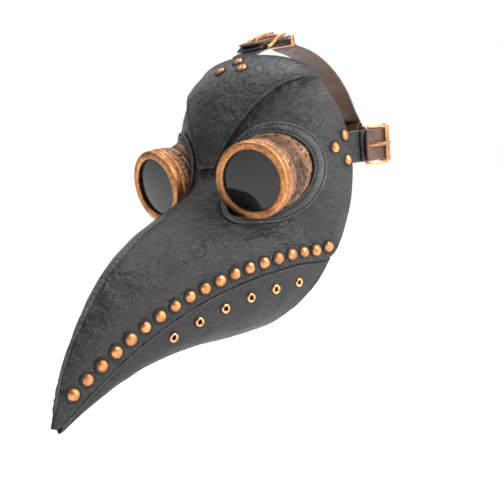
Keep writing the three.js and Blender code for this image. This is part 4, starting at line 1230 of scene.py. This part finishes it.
# %% [markdown]
# ## Eye tubes, rings, washers and lenses
# The tube was turned on a lathe, so its piece is a profile swung round the eye's axis. Each angle gets its
# own length, because the cheek meets the tube at a slant, and the foot flares where it is beaten over the
# leather. The ring in front screws on to it and moves, so it is its own piece and rides on its own body.

# %% Make the tubes
def eye_tubes():
    u, q = ring_places(29.0 * MM)
    foot = (skin(u, q) - EYE) @ eye_out + 2.2 * MM
    end = np.minimum(foot, -27 * MM)
    flare = np.clip((-foot - 26 * MM) / (6 * MM), 0, 1)
    one = np.ones(AROUND)
    rows, rub_and_highlight = [], []
    front = [(24, -8.4, 0.2), (27.0, -8.3, 0.2), (27.4, -8.7, 0.3), (27.4, -12.3, 0.1), (29.1, -12.35, 0.5),
             (29.55, -12.8, 1), (29.6, -14.6, 0.5), (29.5, -16.3, 1), (29.1, -16.8, 0.6), (27.8, -17.4, 0),
             (27.4, -18.3, 0), (27.7, -19.3, 0.1), (28.5, -19.9, 0.8), (28.75, -20.6, 0.9),
             (28.4, -21.5, 0.4),
             (27.9, -23.2, 0.1), (27.8, -25.3, 0.1)]
    for radius, depth, worn_and_lit in front:
        rows.append((radius * MM * one, depth * MM * one))
        rub_and_highlight.append(worn_and_lit * one)
    for t in np.linspace(0, 1, 30)[1:]:
        depth = -25.3 * MM + (end + 25.3 * MM) * t
        to_foot = depth - end
        belled = 2.0 * MM * flare * bump_at(to_foot, 6 * MM)
        rows.append((27.8 * MM + 0.9 * MM * t * one + belled, depth))
        rub_and_highlight.append(0.1 + 0.5 * bump_at(to_foot - 3 * MM, 3 * MM) * flare)
    rows.append((29.4 * MM + 0.6 * MM * flare, end - 1.6 * MM))
    rows.append((29.0 * MM * one, end - 4 * MM))
    rows.append((29.0 * MM * one, end - 8 * MM))
    rows.append((28.4 * MM * one, end - 8.6 * MM))
    rows.append((24.4 * MM * one, end - 8.6 * MM))
    rows.append((24.0 * MM * one, end - 8 * MM))
    rub_and_highlight += [0 * one] * 6
    for t in (0.7, 0.4, 0.15):
        rows.append((24.0 * MM * one, -9 * MM + (end + 1 * MM) * t))
        rub_and_highlight.append(0 * one)
    points = np.array([about_eye(radius, depth, angles_round) for radius, depth in rows])
    spoke = np.cos(angles_round)[:, None] * eye_across + np.sin(angles_round)[:, None] * eye_up
    grained = points * 1.0 - (points @ eye_out)[..., None] * eye_out * 0.55
    beaten = crumple(grained, 6.5 * MM, 4)
    depth = np.array([row[1] for row in rows])
    outside = np.arange(len(rows)) < len(front) + 30
    amount = np.where(outside, np.clip((-depth.min(axis=1) - 17 * MM) / (12 * MM), 0, 1), 0)
    points = points + spoke[None] * (beaten * amount[:, None] * 0.5 * MM)[..., None]
    # Brighter on band ridges, near the beaten foot and on lump crests: partly metal rubbed bare, partly
    # painted highlight.
    wear = np.clip(np.array(rub_and_highlight) + 0.35 * np.clip(beaten, 0, 1) * amount[:, None], 0, 1)
    return both_sides("eye_tube", points.reshape(-1, 3), tube_faces(len(rows), AROUND), tube_bronze,
                      nodes=("eye_cup",), values={"wear": wear})


tubes = eye_tubes()
print("tube:", len(tubes[0].data.polygons), "faces")

# %% Make the rings, washers and lenses
def swung(name, profile, finish, bodies, nodes, dents=0.0, closed=True, segments=128):
    """A profile of (radius, depth, wear and painted highlight) swung round both eyes' axes."""
    angles = np.linspace(0, 2 * math.pi, segments, endpoint=False)
    profile = np.array(profile, float)
    one = np.ones(segments)
    points = np.array([about_eye(r * MM * one, d * MM * one, angles) for r, d, _ in profile])
    shake = crumple(points, 12 * MM, 4)
    spoke = np.cos(angles)[:, None] * eye_across + np.sin(angles)[:, None] * eye_up
    points = points + spoke[None] * (shake * dents * MM)[..., None]
    wear = np.clip(profile[:, 2][:, None] * (0.75 + 0.6 * shake), 0, 1)
    return both_sides(name, points.reshape(-1, 3), tube_faces(len(profile), segments, closed), finish,
                      bodies, nodes, {"wear": wear})


RING = [(23.6, -3.0, 0), (23.55, -1.6, 0.4), (23.65, -0.95, 1), (24.0, -0.5, 1), (24.5, -0.2, 0.9),
        (25.2, -0.05, 0.3), (26.6, 0.0, 0.1), (28.0, -0.08, 0.3), (28.9, -0.35, 0.9), (29.5, -0.85, 1),
        (29.9, -1.6, 0.6), (30.0, -2.6, 0.2), (30.0, -5.7, 0.2), (29.9, -6.1, 0.9), (29.5, -6.5, 0.5),
        (29.2, -6.9, 0), (29.15, -7.6, 0), (29.4, -8.0, 0.2),
        (29.85, -8.3, 0.9), (30.0, -8.7, 0.6), (30.0, -11.2, 0.3), (29.8, -11.8, 0.9), (29.4, -12.0, 0.5),
        (27.9, -12.0, 0), (27.8, -11.5, 0), (27.8, -3.4, 0), (27.6, -3.05, 0)]
rings = swung("screw_ring", RING, ring_bronze, ("bezel_left", "bezel_right"), ("bezel",),
              dents=0.06)
WASHER = [(23.5, -6.05, 0), (25.7, -6.0, 0), (26.0, -6.3, 0), (26.0, -7.7, 0), (25.7, -8.0, 0),
          (23.6, -8.0, 0), (23.35, -7.6, 0), (23.35, -6.3, 0)]
washers = swung("lens_washer", WASHER, washer_rubber, ("lens_set_left", "lens_set_right"), ("lens_gasket",))
DOME = 1.5
GLASS = [(r, -3.35 + DOME * (1 - (r / 26) ** 2), 0)
         for r in (0.4, 3, 6, 9, 12, 15, 18, 20.5, 22.5, 24.2, 25.4)]
GLASS += [(25.9, -3.5, 0), (26.0, -3.9, 0), (26.0, -5.3, 0), (25.7, -5.65, 0), (12, -5.7, 0), (0.4, -5.7, 0)]
lenses = swung("lens_glass", GLASS, smoked_glass, ("lens_set_left", "lens_set_right"), ("lens",),
               closed=False)
print("ring, washer, lens:", [len(p[0].data.polygons) for p in (rings, washers, lenses)])

# %% [markdown]
# ## Rivets and eyelets
# Nineteen copper rivets hold each side of the mouth, three each temple and three the crown. Round each
# head lies a thin near-black ring of painted shade for the gap under it. The tree sets them all, with a
# random turn and a shallow dent for each.

# %% Set the rivets
def frame_at(u, q, height):
    return raised(u, q, height), normal_at(u, q), unit(slopes(u, q)[0])


def rivet_rows():
    u, q = rivet_places
    at, out, along = frame_at(u, q, np.full_like(u, 0.2 * MM))
    _, inside_out, _ = frame_at(u, q, np.zeros_like(u))
    depth = -(thin(u) + 1.5 * MM)
    core = raised(u, q, depth)
    for side, sign in SIDES:
        flip = np.array((sign, 1, 1))
        row_of(f"mouth_rivets_{side}", rivet_dome, at * flip, out * flip, along * flip, rivet_copper,
               (0.93, 1.06), 3.0, 0.0005, stands_for=(f"mouth_rivets_{side}",))
        # Painted shade: a near-black ring round each rivet head.
        row_of(f"mouth_rivet_wax_{side}", wax_ring, at * flip, out * flip, along * flip, rivet_shade_paint, (1.08, 1.14),
               3.0, 0.0003)
        strip = []
        across = unit(np.cross(inside_out, along))
        for w, n in ((3.5, 0.3), (3.2, 0.6), (-3.2, 0.6), (-3.5, 0.3),
                     (-3.5, -0.3), (-3.2, -0.6), (3.2, -0.6), (3.5, -0.3)):
            strip.append(core + across * w * MM + inside_out * n * MM)
        strip = np.array(strip).transpose(1, 0, 2) * flip
        make_piece(f"mouth_backing_{side}", strip.reshape(-1, 3), tube_faces(len(strip), 8, False), suede)


def few_rivets(name, u, q, lift, nodes, mirror):
    at, out, along = frame_at(u, q, np.full_like(u, lift))
    for side, sign in SIDES if mirror else ((None, 1.0),):
        flip = np.array((sign, 1, 1))
        label = f"{name}_{side}" if side else name
        stands = tuple(f"{node}_{side}" if side else node for node in nodes)
        row_of(label, small_dome, at * flip, out * flip, along * flip, rivet_copper, (0.88, 0.98),
               3.0, 0.0006,
               stands_for=stands)
        # Painted shade: a near-black ring round each rivet head.
        row_of(f"{label}_wax", wax_ring, at * flip, out * flip, along * flip, rivet_shade_paint, (1.02, 1.08), 3.0, 0.0003)


rivet_rows()
few_rivets("temple_rivets", *temple_places, 0.2 * MM, [f"temple_rivet_{n}" for n in (1, 2, 3)], True)
few_rivets("crown_rivets", *crown_places, 3.5 * MM, [f"crown_rivet_{n}" for n in (1, 2, 3)], False)


def eyelet_rows():
    u, q = eyelet_places
    at, out, along = frame_at(u, q, np.full_like(u, -0.35 * MM))
    for side, sign in SIDES:
        flip = np.array((sign, 1, 1))
        row_of(f"mouth_eyelets_{side}", eyelet_roll, at * flip, out * flip, along * flip, eyelet_copper,
               (0.96, 1.04),
               3.0, 0.0004, stands_for=[f"eyelet_{n}_{side}" for n in range(1, 7)])
        # Painted shade: a near-black ring round each eyelet.
        row_of(f"eyelet_wax_{side}", wax_ring, at * flip - out * flip * 0.0001, out * flip, along * flip, rivet_shade_paint,
               (0.8, 0.84), 3.0, 0.0003)


eyelet_rows()

# %% [markdown]
# ## The harness
# Three straps hold the mask: one from each temple round the back of the head, and one over the crown that
# loops round the back strap. Each starts in a tab folded round the bar of a buckle. Heights and places on a
# strap are measured along the line that it takes over the head, so one set of helpers serves the sides and
# the top.

# %% The lines over the head
STRAP_WIDTH, STRAP_THICK, TAB_THICK = 26 * MM, 2 * MM, 2 * MM
BUCKLE_LENGTH, FROM_RIM, TAIL = 24 * MM, 18 * MM, 7 * MM
BAR_HEIGHT, STRAP_HIGH, RAIL_HEIGHT = 3.1 * MM, 6.3 * MM, 9.8 * MM
HEAD_Y, HEAD_Z, HEAD_WIDE, HEAD_DEEP, HEAD_HIGH, BACK_RISE, TEMPLE_Z = (
    v * MM for v in (18, 28, 76, 104, 89, 12, 26))


class OverHead:
    """A line over the head. Distances run from the buckle's bar, forwards to the mask."""

    def __init__(self, points, across):
        t = np.linspace(0, 1, 2400)
        self.points = smooth_line(np.asarray(points), t)
        steps = np.linalg.norm(np.diff(self.points, axis=0), axis=1)
        self.length = np.concatenate([[0], np.cumsum(steps)])
        self.wide = -np.asarray(across, float)
        self.end = FROM_RIM - self.length[-1]

    def frames(self, s):
        """Points on the line, and the directions along it, out from the head and across it."""
        place = np.clip(FROM_RIM - np.asarray(s, float), 0, self.length[-1])
        step = 0.4 * MM
        nearer, further = (np.clip(place + way * step, 0, self.length[-1]) for way in (-1, 1))
        along = unit(point_on(self.points, self.length, nearer) - point_on(self.points, self.length, further))
        wide = np.broadcast_to(self.wide, along.shape)
        return point_on(self.points, self.length, place), along, unit(np.cross(wide, along)), wide

    def lift(self, s, w, n):
        at, _, out, wide = self.frames(s)
        return at + wide * np.asarray(w)[..., None] + out * np.asarray(n)[..., None]


def start_angle(y):
    return math.acos((HEAD_Y - y * MM) / HEAD_DEEP)


side_angles = np.linspace(start_angle(4), math.pi + 0.005, 25)
share = (side_angles - start_angle(4)) / (math.pi - start_angle(4))
side_line = OverHead(np.stack([HEAD_WIDE * np.sin(side_angles), HEAD_Y - HEAD_DEEP * np.cos(side_angles),
                               TEMPLE_Z + BACK_RISE * share], axis=-1), (0, 0, -1))
top_angles = np.linspace(start_angle(-34), math.pi * 0.86, 25)
over = np.stack([0 * top_angles, HEAD_Y - HEAD_DEEP * np.cos(top_angles),
                 HEAD_Z + HEAD_HIGH * np.sin(top_angles)], axis=-1)
BACK_Z = TEMPLE_Z + BACK_RISE
meeting = np.array([[0, HEAD_Y + HEAD_DEEP, BACK_Z + STRAP_WIDTH / 2 + 2.6 * MM]])
top_line = OverHead(np.vstack([over, meeting]), (1, 0, 0))
print("straps reach, mm:", round(-side_line.end / MM), round(-top_line.end / MM))

# %% [markdown]
# A strap is a long sheet with its edges rounded and a crease pressed 2 mm inside each edge. Holes are cut
# with a boolean, because a punch cuts a round hole whatever the grid.

# %% Helpers for straps
WIDE_STEPS = np.array((0, 0.1, 0.35, 0.75, 1.2, 1.7, 2.2, 2.7, 3.4)) * MM
across_strap = spread(-STRAP_WIDTH / 2, STRAP_WIDTH / 2, 9, WIDE_STEPS)
strap_edge = STRAP_WIDTH / 2 - np.abs(across_strap)


def strap_piece(name, top_rows, bottom_rows, finish, nodes, body="mask", cutters=()):
    """A closed sheet from rows of points, painted paler along its edges (partly wear, partly painted
    highlight), with holes cut in it.
    """
    top_rows, bottom_rows = np.asarray(top_rows), np.asarray(bottom_rows)
    rows = len(top_rows)
    wear = np.repeat((0.9 * bump_at(strap_edge - 0.5 * MM, 0.9 * MM))[None, :], rows, axis=0)
    points = np.concatenate([top_rows.reshape(-1, 3), bottom_rows.reshape(-1, 3)])
    faces = sheet_faces(rows, len(across_strap))
    piece = make_piece(name, points, faces, finish, body, nodes,
                       {"wear": np.concatenate([wear.ravel(), wear.ravel()])})
    for number, (cut_points, cut_faces) in enumerate(cutters):
        tool = plain_object("punch", cut_points, cut_faces)
        bpy.context.scene.collection.objects.link(tool)
        cut = piece.modifiers.new("punch", "BOOLEAN")
        cut.operation, cut.solver, cut.object = "DIFFERENCE", "EXACT", tool
        bpy.context.view_layer.update()
        mesh = bpy.data.meshes.new_from_object(piece.evaluated_get(bpy.context.evaluated_depsgraph_get()))
        piece.modifiers.clear()
        piece.data = mesh
        bpy.data.objects.remove(tool)
    return piece


def punch(line, s, radius, low, high):
    """A round cutter through a strap at a distance along its line."""
    at, along, out, wide = (v[0] for v in line.frames(np.array([s])))
    turns = np.linspace(0, 2 * math.pi, 20, endpoint=False)
    rings = [[at + wide * radius * math.cos(t) + along * radius * math.sin(t) + out * n for t in turns]
             for n in (low, high)]
    return np.array(rings).reshape(-1, 3), tube_faces(2, 20, closed=False)


def slot_cut(line, s0, s1, half, low, high):
    """A square cutter from s0 to s1."""
    corners = [line.lift(np.array([s]), np.array([w]), np.array([n]))[0]
               for n in (low, high) for s, w in ((s0, -half), (s1, -half), (s1, half), (s0, half))]
    return np.array(corners), tube_faces(2, 4, closed=False)


def smooth_step(x, low, high):
    t = np.clip((x - low) / (high - low), 0, 1)
    return t * t * (3 - 2 * t)


def strap_run(line):
    """Rows of a strap from its far end to its tail, which lies over the buckle's bar."""
    s = np.concatenate([np.linspace(line.end, -47 * MM, 90)[:-1], np.linspace(-47 * MM, TAIL, 60)])
    base = STRAP_HIGH * smooth_step(s, -46 * MM, -26 * MM)
    narrow = np.where(s > TAIL - 4 * MM, 1 - 0.45 * ((s - TAIL + 4 * MM) / (4 * MM)) ** 2, 1)
    w = across_strap[None, :] * narrow[:, None]
    end_round = rounding(TAIL - s, 1.0 * MM)[:, None]
    half = STRAP_THICK / 2 * np.minimum(rounding(strap_edge, 0.9 * MM)[None, :], end_round)
    sway = 0.12 * MM * crumple(line.lift(s[:, None], w, 0 * w), 18 * MM, 3)
    crease = -0.22 * MM * bump_at(strap_edge - 2.2 * MM, 0.45 * MM)[None, :]
    middle = base[:, None] + STRAP_THICK / 2
    span = s[:, None] + 0 * w
    middle = middle + sway * 0.5
    return line.lift(span, w, middle + half + crease), line.lift(span, w, middle - half)


PRONG_HOLES = (-46, -58)
HOLE_RADIUS = 1.6 * MM


def run_cutters(line):
    cuts = [punch(line, s * MM, HOLE_RADIUS, -4 * MM, 12 * MM) for s in PRONG_HOLES]
    return cuts + [slot_cut(line, -10 * MM, 3 * MM, 1.9 * MM, STRAP_HIGH - 1 * MM, RAIL_HEIGHT)]


def mirror_cut(cut):
    return cut[0] * MIRROR, cut[1]


left_top, left_bottom = strap_run(side_line)
right_top, right_bottom = left_top[::-1] * MIRROR, left_bottom[::-1] * MIRROR
whole_top = np.concatenate([right_top[:-2], left_top[1:]])
whole_bottom = np.concatenate([right_bottom[:-2], left_bottom[1:]])
side_cuts = run_cutters(side_line)
back_strap = strap_piece("back_strap_leather", whole_top, whole_bottom, strap_leather, ("back_strap",),
                         cutters=side_cuts + [mirror_cut(cut) for cut in side_cuts])
print("back strap:", len(back_strap.data.polygons), "faces")

# %% The top strap and the loop at its end
over_top, over_bottom = strap_run(top_line)
top_strap = strap_piece("top_strap_leather", over_top, over_bottom, strap_leather, ("top_strap",),
                        cutters=run_cutters(top_line))


def blunted(value, power):
    """A sine or cosine pushed outwards, which turns a circle into a rounded square."""
    return np.sign(value) * np.abs(value) ** power


def loop_round(name, centre, half_y, half_z, thick, half_x, finish):
    """A band of leather bent into a rounded rectangle round the back strap."""
    turns = np.linspace(0, 2 * math.pi, 72, endpoint=False)
    outer, inner = [], []
    edge_x = np.array((-1, -0.985, -0.93, -0.8, 0, 0.8, 0.93, 0.985, 1)) * half_x
    drop = rounding(half_x - np.abs(edge_x), 0.8 * MM)
    for t in turns:
        y, z = half_y * blunted(math.cos(t), 0.35), half_z * blunted(math.sin(t), 0.35)
        n = unit(np.array((0, y / half_y**2 * half_z, z / half_z**2 * half_y)))
        for band, way in ((outer, 0.5), (inner, -0.5)):
            band.append([centre + np.array((x, y, z)) + n * thick * (0.5 + way * d)
                         for x, d in zip(edge_x, drop)])
    outer, inner = np.array(outer).transpose(1, 0, 2), np.array(inner).transpose(1, 0, 2)
    points = np.concatenate([outer.reshape(-1, 3), inner.reshape(-1, 3)])
    # Paler along both edges of the band: partly wear, partly painted highlight.
    wear = np.repeat((0.8 * bump_at(half_x - np.abs(edge_x), 1.2 * MM))[:, None], len(turns), axis=1)
    return make_piece(name, points, sheet_faces(len(edge_x), len(turns), wrap=True), finish,
                      values={"wear": np.concatenate([wear.ravel(), wear.ravel()])})


loop_centre = np.array((0, HEAD_Y + HEAD_DEEP, BACK_Z))
loop_round("strap_loop", loop_centre, 2.6 * MM, STRAP_WIDTH / 2 + 1.8 * MM, 2 * MM, STRAP_WIDTH / 2,
           strap_leather)
print("top strap:", len(top_strap.data.polygons), "faces")

# %% [markdown]
# ## Tabs and buckles
# A tab lies under the mask's panel, comes out past the rim and folds round the buckle's heel bar. The
# buckle is one bent frame of round-edged bar. It swings on its heel, and the prong swings on it too, so
# each rides on its own body. The prong and keeper are copies of the frame's own shapes with their corners
# rounded.

# %% Make the tabs
def tab_piece(name, line, skin_rows, nodes):
    s = np.linspace(FROM_RIM - 2 * MM, 3 * MM, 12)
    half_thick = TAB_THICK / 2
    round_edge = rounding(strap_edge, 0.9 * MM)
    crease = -0.2 * MM * bump_at(strap_edge - 2.2 * MM, 0.45 * MM)
    top, bottom = [], []
    for middle, normal in skin_rows:
        top.append(middle + normal * (half_thick * round_edge + crease)[:, None])
        bottom.append(middle - normal * (half_thick * round_edge)[:, None])
    for at in s:
        span = np.full_like(across_strap, at)
        top.append(line.lift(span, across_strap, half_thick + half_thick * round_edge + crease))
        bottom.append(line.lift(span, across_strap, half_thick - half_thick * round_edge))
    made = strap_piece(name, top, bottom, tab_leather, nodes[:1])
    return made


def fold_rows():
    """The folded end: up round the bar and back along the tab."""
    centre_n, inner, outer = BAR_HEIGHT, 1.55 * MM, 2.9 * MM
    path = [(3.0 * MM, 0.65 * MM, 0.0, 1.0)]
    for degrees in np.linspace(270, 90, 15):
        a = math.radians(degrees)
        middle = (inner + outer) / 2
        path.append((middle * math.cos(a), centre_n + middle * math.sin(a), -math.cos(a), -math.sin(a)))
    for s, n in ((2.5, 5.2), (4.5, 4.9), (6.5, 4.1), (8.2, 3.1), (9.0, 2.75)):
        path.append((s * MM, n * MM, -0.3, -1.0))
    return path, (outer - inner) / 2


def fold_piece(name, line):
    path, half = fold_rows()
    round_edge = rounding(strap_edge, 0.7 * MM)
    at, along, out, wide = (v[0] for v in line.frames(np.array([0.0])))
    inner_rows, outer_rows = [], []
    for number, (s, n, ds, dn) in enumerate(path):
        towards = unit(np.array((ds, dn)))
        end = 0.35 if number in (0, len(path) - 1) else 1.0
        spot = at + along * s + out * n
        shift = along * towards[0] + out * towards[1]
        thick = (half * round_edge * end)[:, None]
        row = spot + wide * across_strap[:, None]
        inner_rows.append(row + shift * thick)
        outer_rows.append(row - shift * thick)
    corners = [at + along * s + out * n + wide * w for w in (-1.75 * MM, 1.75 * MM)
               for s, n in ((-6 * MM, -3 * MM), (5 * MM, -3 * MM), (5 * MM, 12 * MM), (-6 * MM, 12 * MM))]
    return strap_piece(name, outer_rows, inner_rows, tab_leather, (),
                       cutters=[(np.array(corners), tube_faces(2, 4, closed=False))])


def side_skin_rows():
    rows = []
    for y in np.linspace(-28, -3, 12):
        target = np.stack([np.full_like(across_strap, 80 * MM), np.full_like(across_strap, y * MM),
                           TEMPLE_Z + across_strap], axis=-1)
        u, q = settle(target, np.full_like(across_strap, 0.22), np.full_like(across_strap, 0.9))
        rows.append((raised(u, q, np.full_like(u, -3.9 * MM)), normal_at(u, q)))
    return rows


def top_skin_rows():
    rows = []
    start = np.array([0.002]), np.array([0.0])
    for from_rim in np.linspace(28, 1, 12):
        u, _ = walk(*start, slopes(*start)[0], np.array([from_rim * MM]))
        spot = np.full_like(across_strap, u[0])
        sideways = np.zeros((len(across_strap), 3))
        sideways[:, 0] = np.where(across_strap < 0, 1, -1)
        places = walk(spot, 0 * spot, sideways, np.maximum(np.abs(across_strap), 1e-6))
        rows.append((raised(*places, np.full_like(spot, 0.0 * MM)), normal_at(*places)))
    return rows


side_tab = tab_piece("side_tab_leather_left", side_line, side_skin_rows(), ("side_tab_left",))
top_tab = tab_piece("top_tab_leather", top_line, top_skin_rows(), ("top_tab",))
side_fold = fold_piece("side_fold_left", side_line)
top_fold = fold_piece("top_fold", top_line)


def mirrored_copy(piece, name, body, nodes):
    mesh = piece.data.copy()
    mesh.transform(Matrix.Diagonal((-1, 1, 1, 1)))
    mesh.flip_normals()
    twin = bpy.data.objects.new(name, mesh)
    bpy.context.scene.collection.objects.link(twin)
    return dress(twin, None, body, nodes)


mirrored_copy(side_tab, "side_tab_leather_right", "mask", ("side_tab_right",))
mirrored_copy(side_fold, "side_fold_right", "mask", ())
print("tab:", len(side_tab.data.polygons), "fold:", len(side_fold.data.polygons))

# %% Make the buckles
def buckle(name, line, body, nodes):
    """A closed frame of bar: round at the heel, flatter and wider along the rails."""
    half = STRAP_WIDTH / 2 + 0.8 * MM + 1.5 * MM
    far, bend = -BUCKLE_LENGTH, 2.2 * MM

    def corner(s, w, start, end):
        return [(s + bend * math.cos(t), w + bend * math.sin(t)) for t in np.linspace(start, end, 7)]

    quarter = math.pi / 2
    outline = [(s, half) for s in np.linspace(-1.5 * MM, far + bend, 16)]
    outline += corner(far + bend, half - bend, quarter, 2 * quarter)
    outline += [(far, w) for w in np.linspace(half - bend, bend - half, 14)[1:-1]]
    outline += corner(far + bend, bend - half, 2 * quarter, 3 * quarter)
    outline += [(s, -half) for s in np.linspace(far + bend, -1.5 * MM, 16)]
    outline += corner(-1.0 * MM - 0.2 * MM, -half + bend, 3 * quarter, 3.6 * quarter)
    outline += [(0.0, w) for w in np.linspace(-half + bend + 0.6 * MM, half - bend - 0.6 * MM, 14)]
    outline += corner(-1.0 * MM - 0.2 * MM, half - bend, 0.4 * quarter, quarter)
    outline = np.array(outline)
    heel = np.abs(outline[:, 0]) < 0.9 * MM
    n = BAR_HEIGHT + (RAIL_HEIGHT - BAR_HEIGHT) * smooth_step(-outline[:, 0], 0, BUCKLE_LENGTH * 0.8)
    path = line.lift(outline[:, 0], outline[:, 1], n)
    _, _, out, _ = line.frames(outline[:, 0])
    run = unit(np.roll(path, -1, axis=0) - np.roll(path, 1, axis=0))
    side = unit(np.cross(run, out))
    rise = np.cross(side, run)
    thickness = 1.2 * MM
    breadth = np.where(heel, 1.2, 1.5) * MM
    turns = np.linspace(0, 2 * math.pi, 20, endpoint=False)
    squarish = [(blunted(math.cos(t), 0.72), blunted(math.sin(t), 0.72)) for t in turns]
    rings = np.array([[p + x * b * c + y * thickness * s for c, s in squarish]
                      for p, x, y, b in zip(path, side, rise, breadth)])
    dents = crumple(rings, 5 * MM, 3)
    # The bar's outer side is painted brighter than its inner side: partly rub, partly painted highlight.
    wear = np.clip(0.4 + 0.9 * np.maximum(np.sin(turns), 0)[None, :] * (0.6 + dents), 0, 1)
    return make_piece(name, rings.reshape(-1, 3), tube_faces(len(rings), len(turns)), buckle_copper, body,
                      nodes, {"wear": wear})


side_buckle = buckle("side_buckle_frame_left", side_line, "side_buckle_left", ("side_buckle_left",))
mirrored_copy(side_buckle, "side_buckle_frame_right", "side_buckle_right", ("side_buckle_right",))
buckle("top_buckle_frame", top_line, "top_buckle", ("top_buckle",))


def softened(name, node, body, finish, width=0.4):
    """A copy of a frame node, merged and with its corners rounded."""
    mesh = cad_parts[node].data.copy()
    work = bmesh.new()
    work.from_mesh(mesh)
    bmesh.ops.remove_doubles(work, verts=work.verts, dist=1e-6)
    bmesh.ops.dissolve_limit(work, angle_limit=math.radians(4), verts=work.verts, edges=work.edges)
    for face in work.faces:
        face.smooth = True
    work.to_mesh(mesh)
    work.free()
    piece = bpy.data.objects.new(name, mesh)
    bpy.context.scene.collection.objects.link(piece)
    rounding_off = piece.modifiers.new("rounded", "BEVEL")
    rounding_off.width, rounding_off.segments, rounding_off.limit_method = width * MM, 3, "ANGLE"
    rounding_off.angle_limit = math.radians(25)
    rounding_off.harden_normals = False
    return dress(piece, finish, body, (node,))


for side, _ in SIDES:
    softened(f"side_prong_pin_{side}", f"side_prong_{side}", f"side_prong_{side}", buckle_copper,
             0.5)
    softened(f"side_keeper_loop_{side}", f"side_keeper_{side}", "mask", buckle_copper, 0.5)
softened("top_prong_pin", "top_prong", "top_prong", buckle_copper, 0.5)
softened("top_keeper_loop", "top_keeper", "mask", buckle_copper, 0.5)

# %% [markdown]
# ## Floor, light and air
# The mask stands over a plain pale floor. The air is pale behind it and dim on the viewer's side, so black
# leather stays dark where it faces us and brightens towards its edges. Four soft lights draw the dull sheen:
# one above the brow, one beside the cheek, one over the beak and one behind.

# %% The floor and the lights
def floor():
    f = Finish("pale_floor")
    grain = f.clouds(6, 3, 0.5)
    finish = f.done(Base_Color=f.mix(grain, (0.95, 0.95, 0.95), (0.98, 0.98, 0.98)),
                    Roughness=0.9 + 0.05 * grain, Emission_Color=(0.97, 0.97, 0.97, 1),
                    Emission_Strength=0.55)
    low = float(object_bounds()[0][2]) - 0.0008
    count, reach = 9, 40.0
    at = np.linspace(-reach, reach, count)
    points = [(x, y, low) for x in at for y in at]
    faces = [(i * count + j, (i + 1) * count + j, (i + 1) * count + j + 1, i * count + j + 1)
             for i in range(count - 1) for j in range(count - 1)]
    mesh = bpy.data.meshes.new("floor")
    mesh.from_pydata(points, [], faces)
    mesh.materials.append(finish)
    made = bpy.data.objects.new("floor", mesh)
    bpy.context.scene.collection.objects.link(made)
    made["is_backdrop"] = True
    return made


def soft_light(name, place, target, size, power, colour=(1, 1, 1)):
    lamp = bpy.data.lights.new(name, "AREA")
    lamp.shape = "RECTANGLE"
    lamp.size, lamp.size_y = size
    lamp.energy = power
    lamp.color = colour
    made = bpy.data.objects.new(name, lamp)
    made.location = place
    made.rotation_euler = (Vector(target) - Vector(place)).to_track_quat("-Z", "Y").to_euler()
    bpy.context.scene.collection.objects.link(made)
    return made


def towards(azimuth, height):
    """The direction at an angle round from the front and an angle up, in degrees."""
    turn, lift = math.radians(azimuth), math.radians(height)
    return (math.sin(turn) * math.cos(lift), -math.cos(turn) * math.cos(lift), math.sin(lift))


def air(low, high, front):
    """Light from all round: dim before the mask and pale behind, with a soft bright patch in front."""
    world = bpy.data.worlds.new("pale_air")
    world.use_nodes = True
    tree = world.node_tree
    place = tree.nodes.new("ShaderNodeTexCoord").outputs["Object"]

    def lobe(direction, start, end, strength):
        near = tree.nodes.new("ShaderNodeVectorMath")
        near.operation = "DOT_PRODUCT"
        near.inputs[1].default_value = direction
        tree.links.new(place, near.inputs[0])
        soft = tree.nodes.new("ShaderNodeMapRange")
        soft.interpolation_type = "SMOOTHSTEP"
        ramp = (("From Min", start), ("From Max", end), ("To Min", 0.0), ("To Max", strength))
        for name, value in ramp:
            soft.inputs[name].default_value = value
        tree.links.new(near.outputs["Value"], soft.inputs["Value"])
        return soft.outputs["Result"]

    dim, total = (tree.nodes.new("ShaderNodeMath") for _ in range(2))
    dim.inputs[1].default_value = low
    tree.links.new(lobe(towards(AZIMUTH + 180, 5), -0.15, 0.55, high - low), dim.inputs[0])
    tree.links.new(lobe(towards(-8, 4), 0.8, 0.97, front), total.inputs[0])
    tree.links.new(dim.outputs["Value"], total.inputs[1])
    tree.links.new(total.outputs["Value"], tree.nodes["Background"].inputs["Strength"])
    tree.nodes["Background"].inputs["Color"].default_value = (1, 1, 1, 1)
    bpy.context.scene.world = world


floor()
bpy.context.scene.view_settings.view_transform = "Standard"
air(0.12, 1.0, 0.55)
soft_light("key", (-0.35, -0.35, 1.25), (0.0, -0.12, 0), (0.45, 0.45), 10)
soft_light("cheek", (1.15, 0.3, 0.5), (0.05, -0.05, 0), (0.5, 0.6), 13)
soft_light("beak", (0.85, -0.1, 0.95), (0.02, -0.15, -0.05), (0.4, 0.4), 6)
soft_light("rim", (-0.1, 0.75, 1.15), (0, -0.1, 0), (0.6, 0.4), 9)

# %% Put the patterns away, keep the sizes and finish
for pattern in (rivet_dome, wax_ring, small_dome, eyelet_roll, stitch_bar):
    bpy.data.objects.remove(pattern)
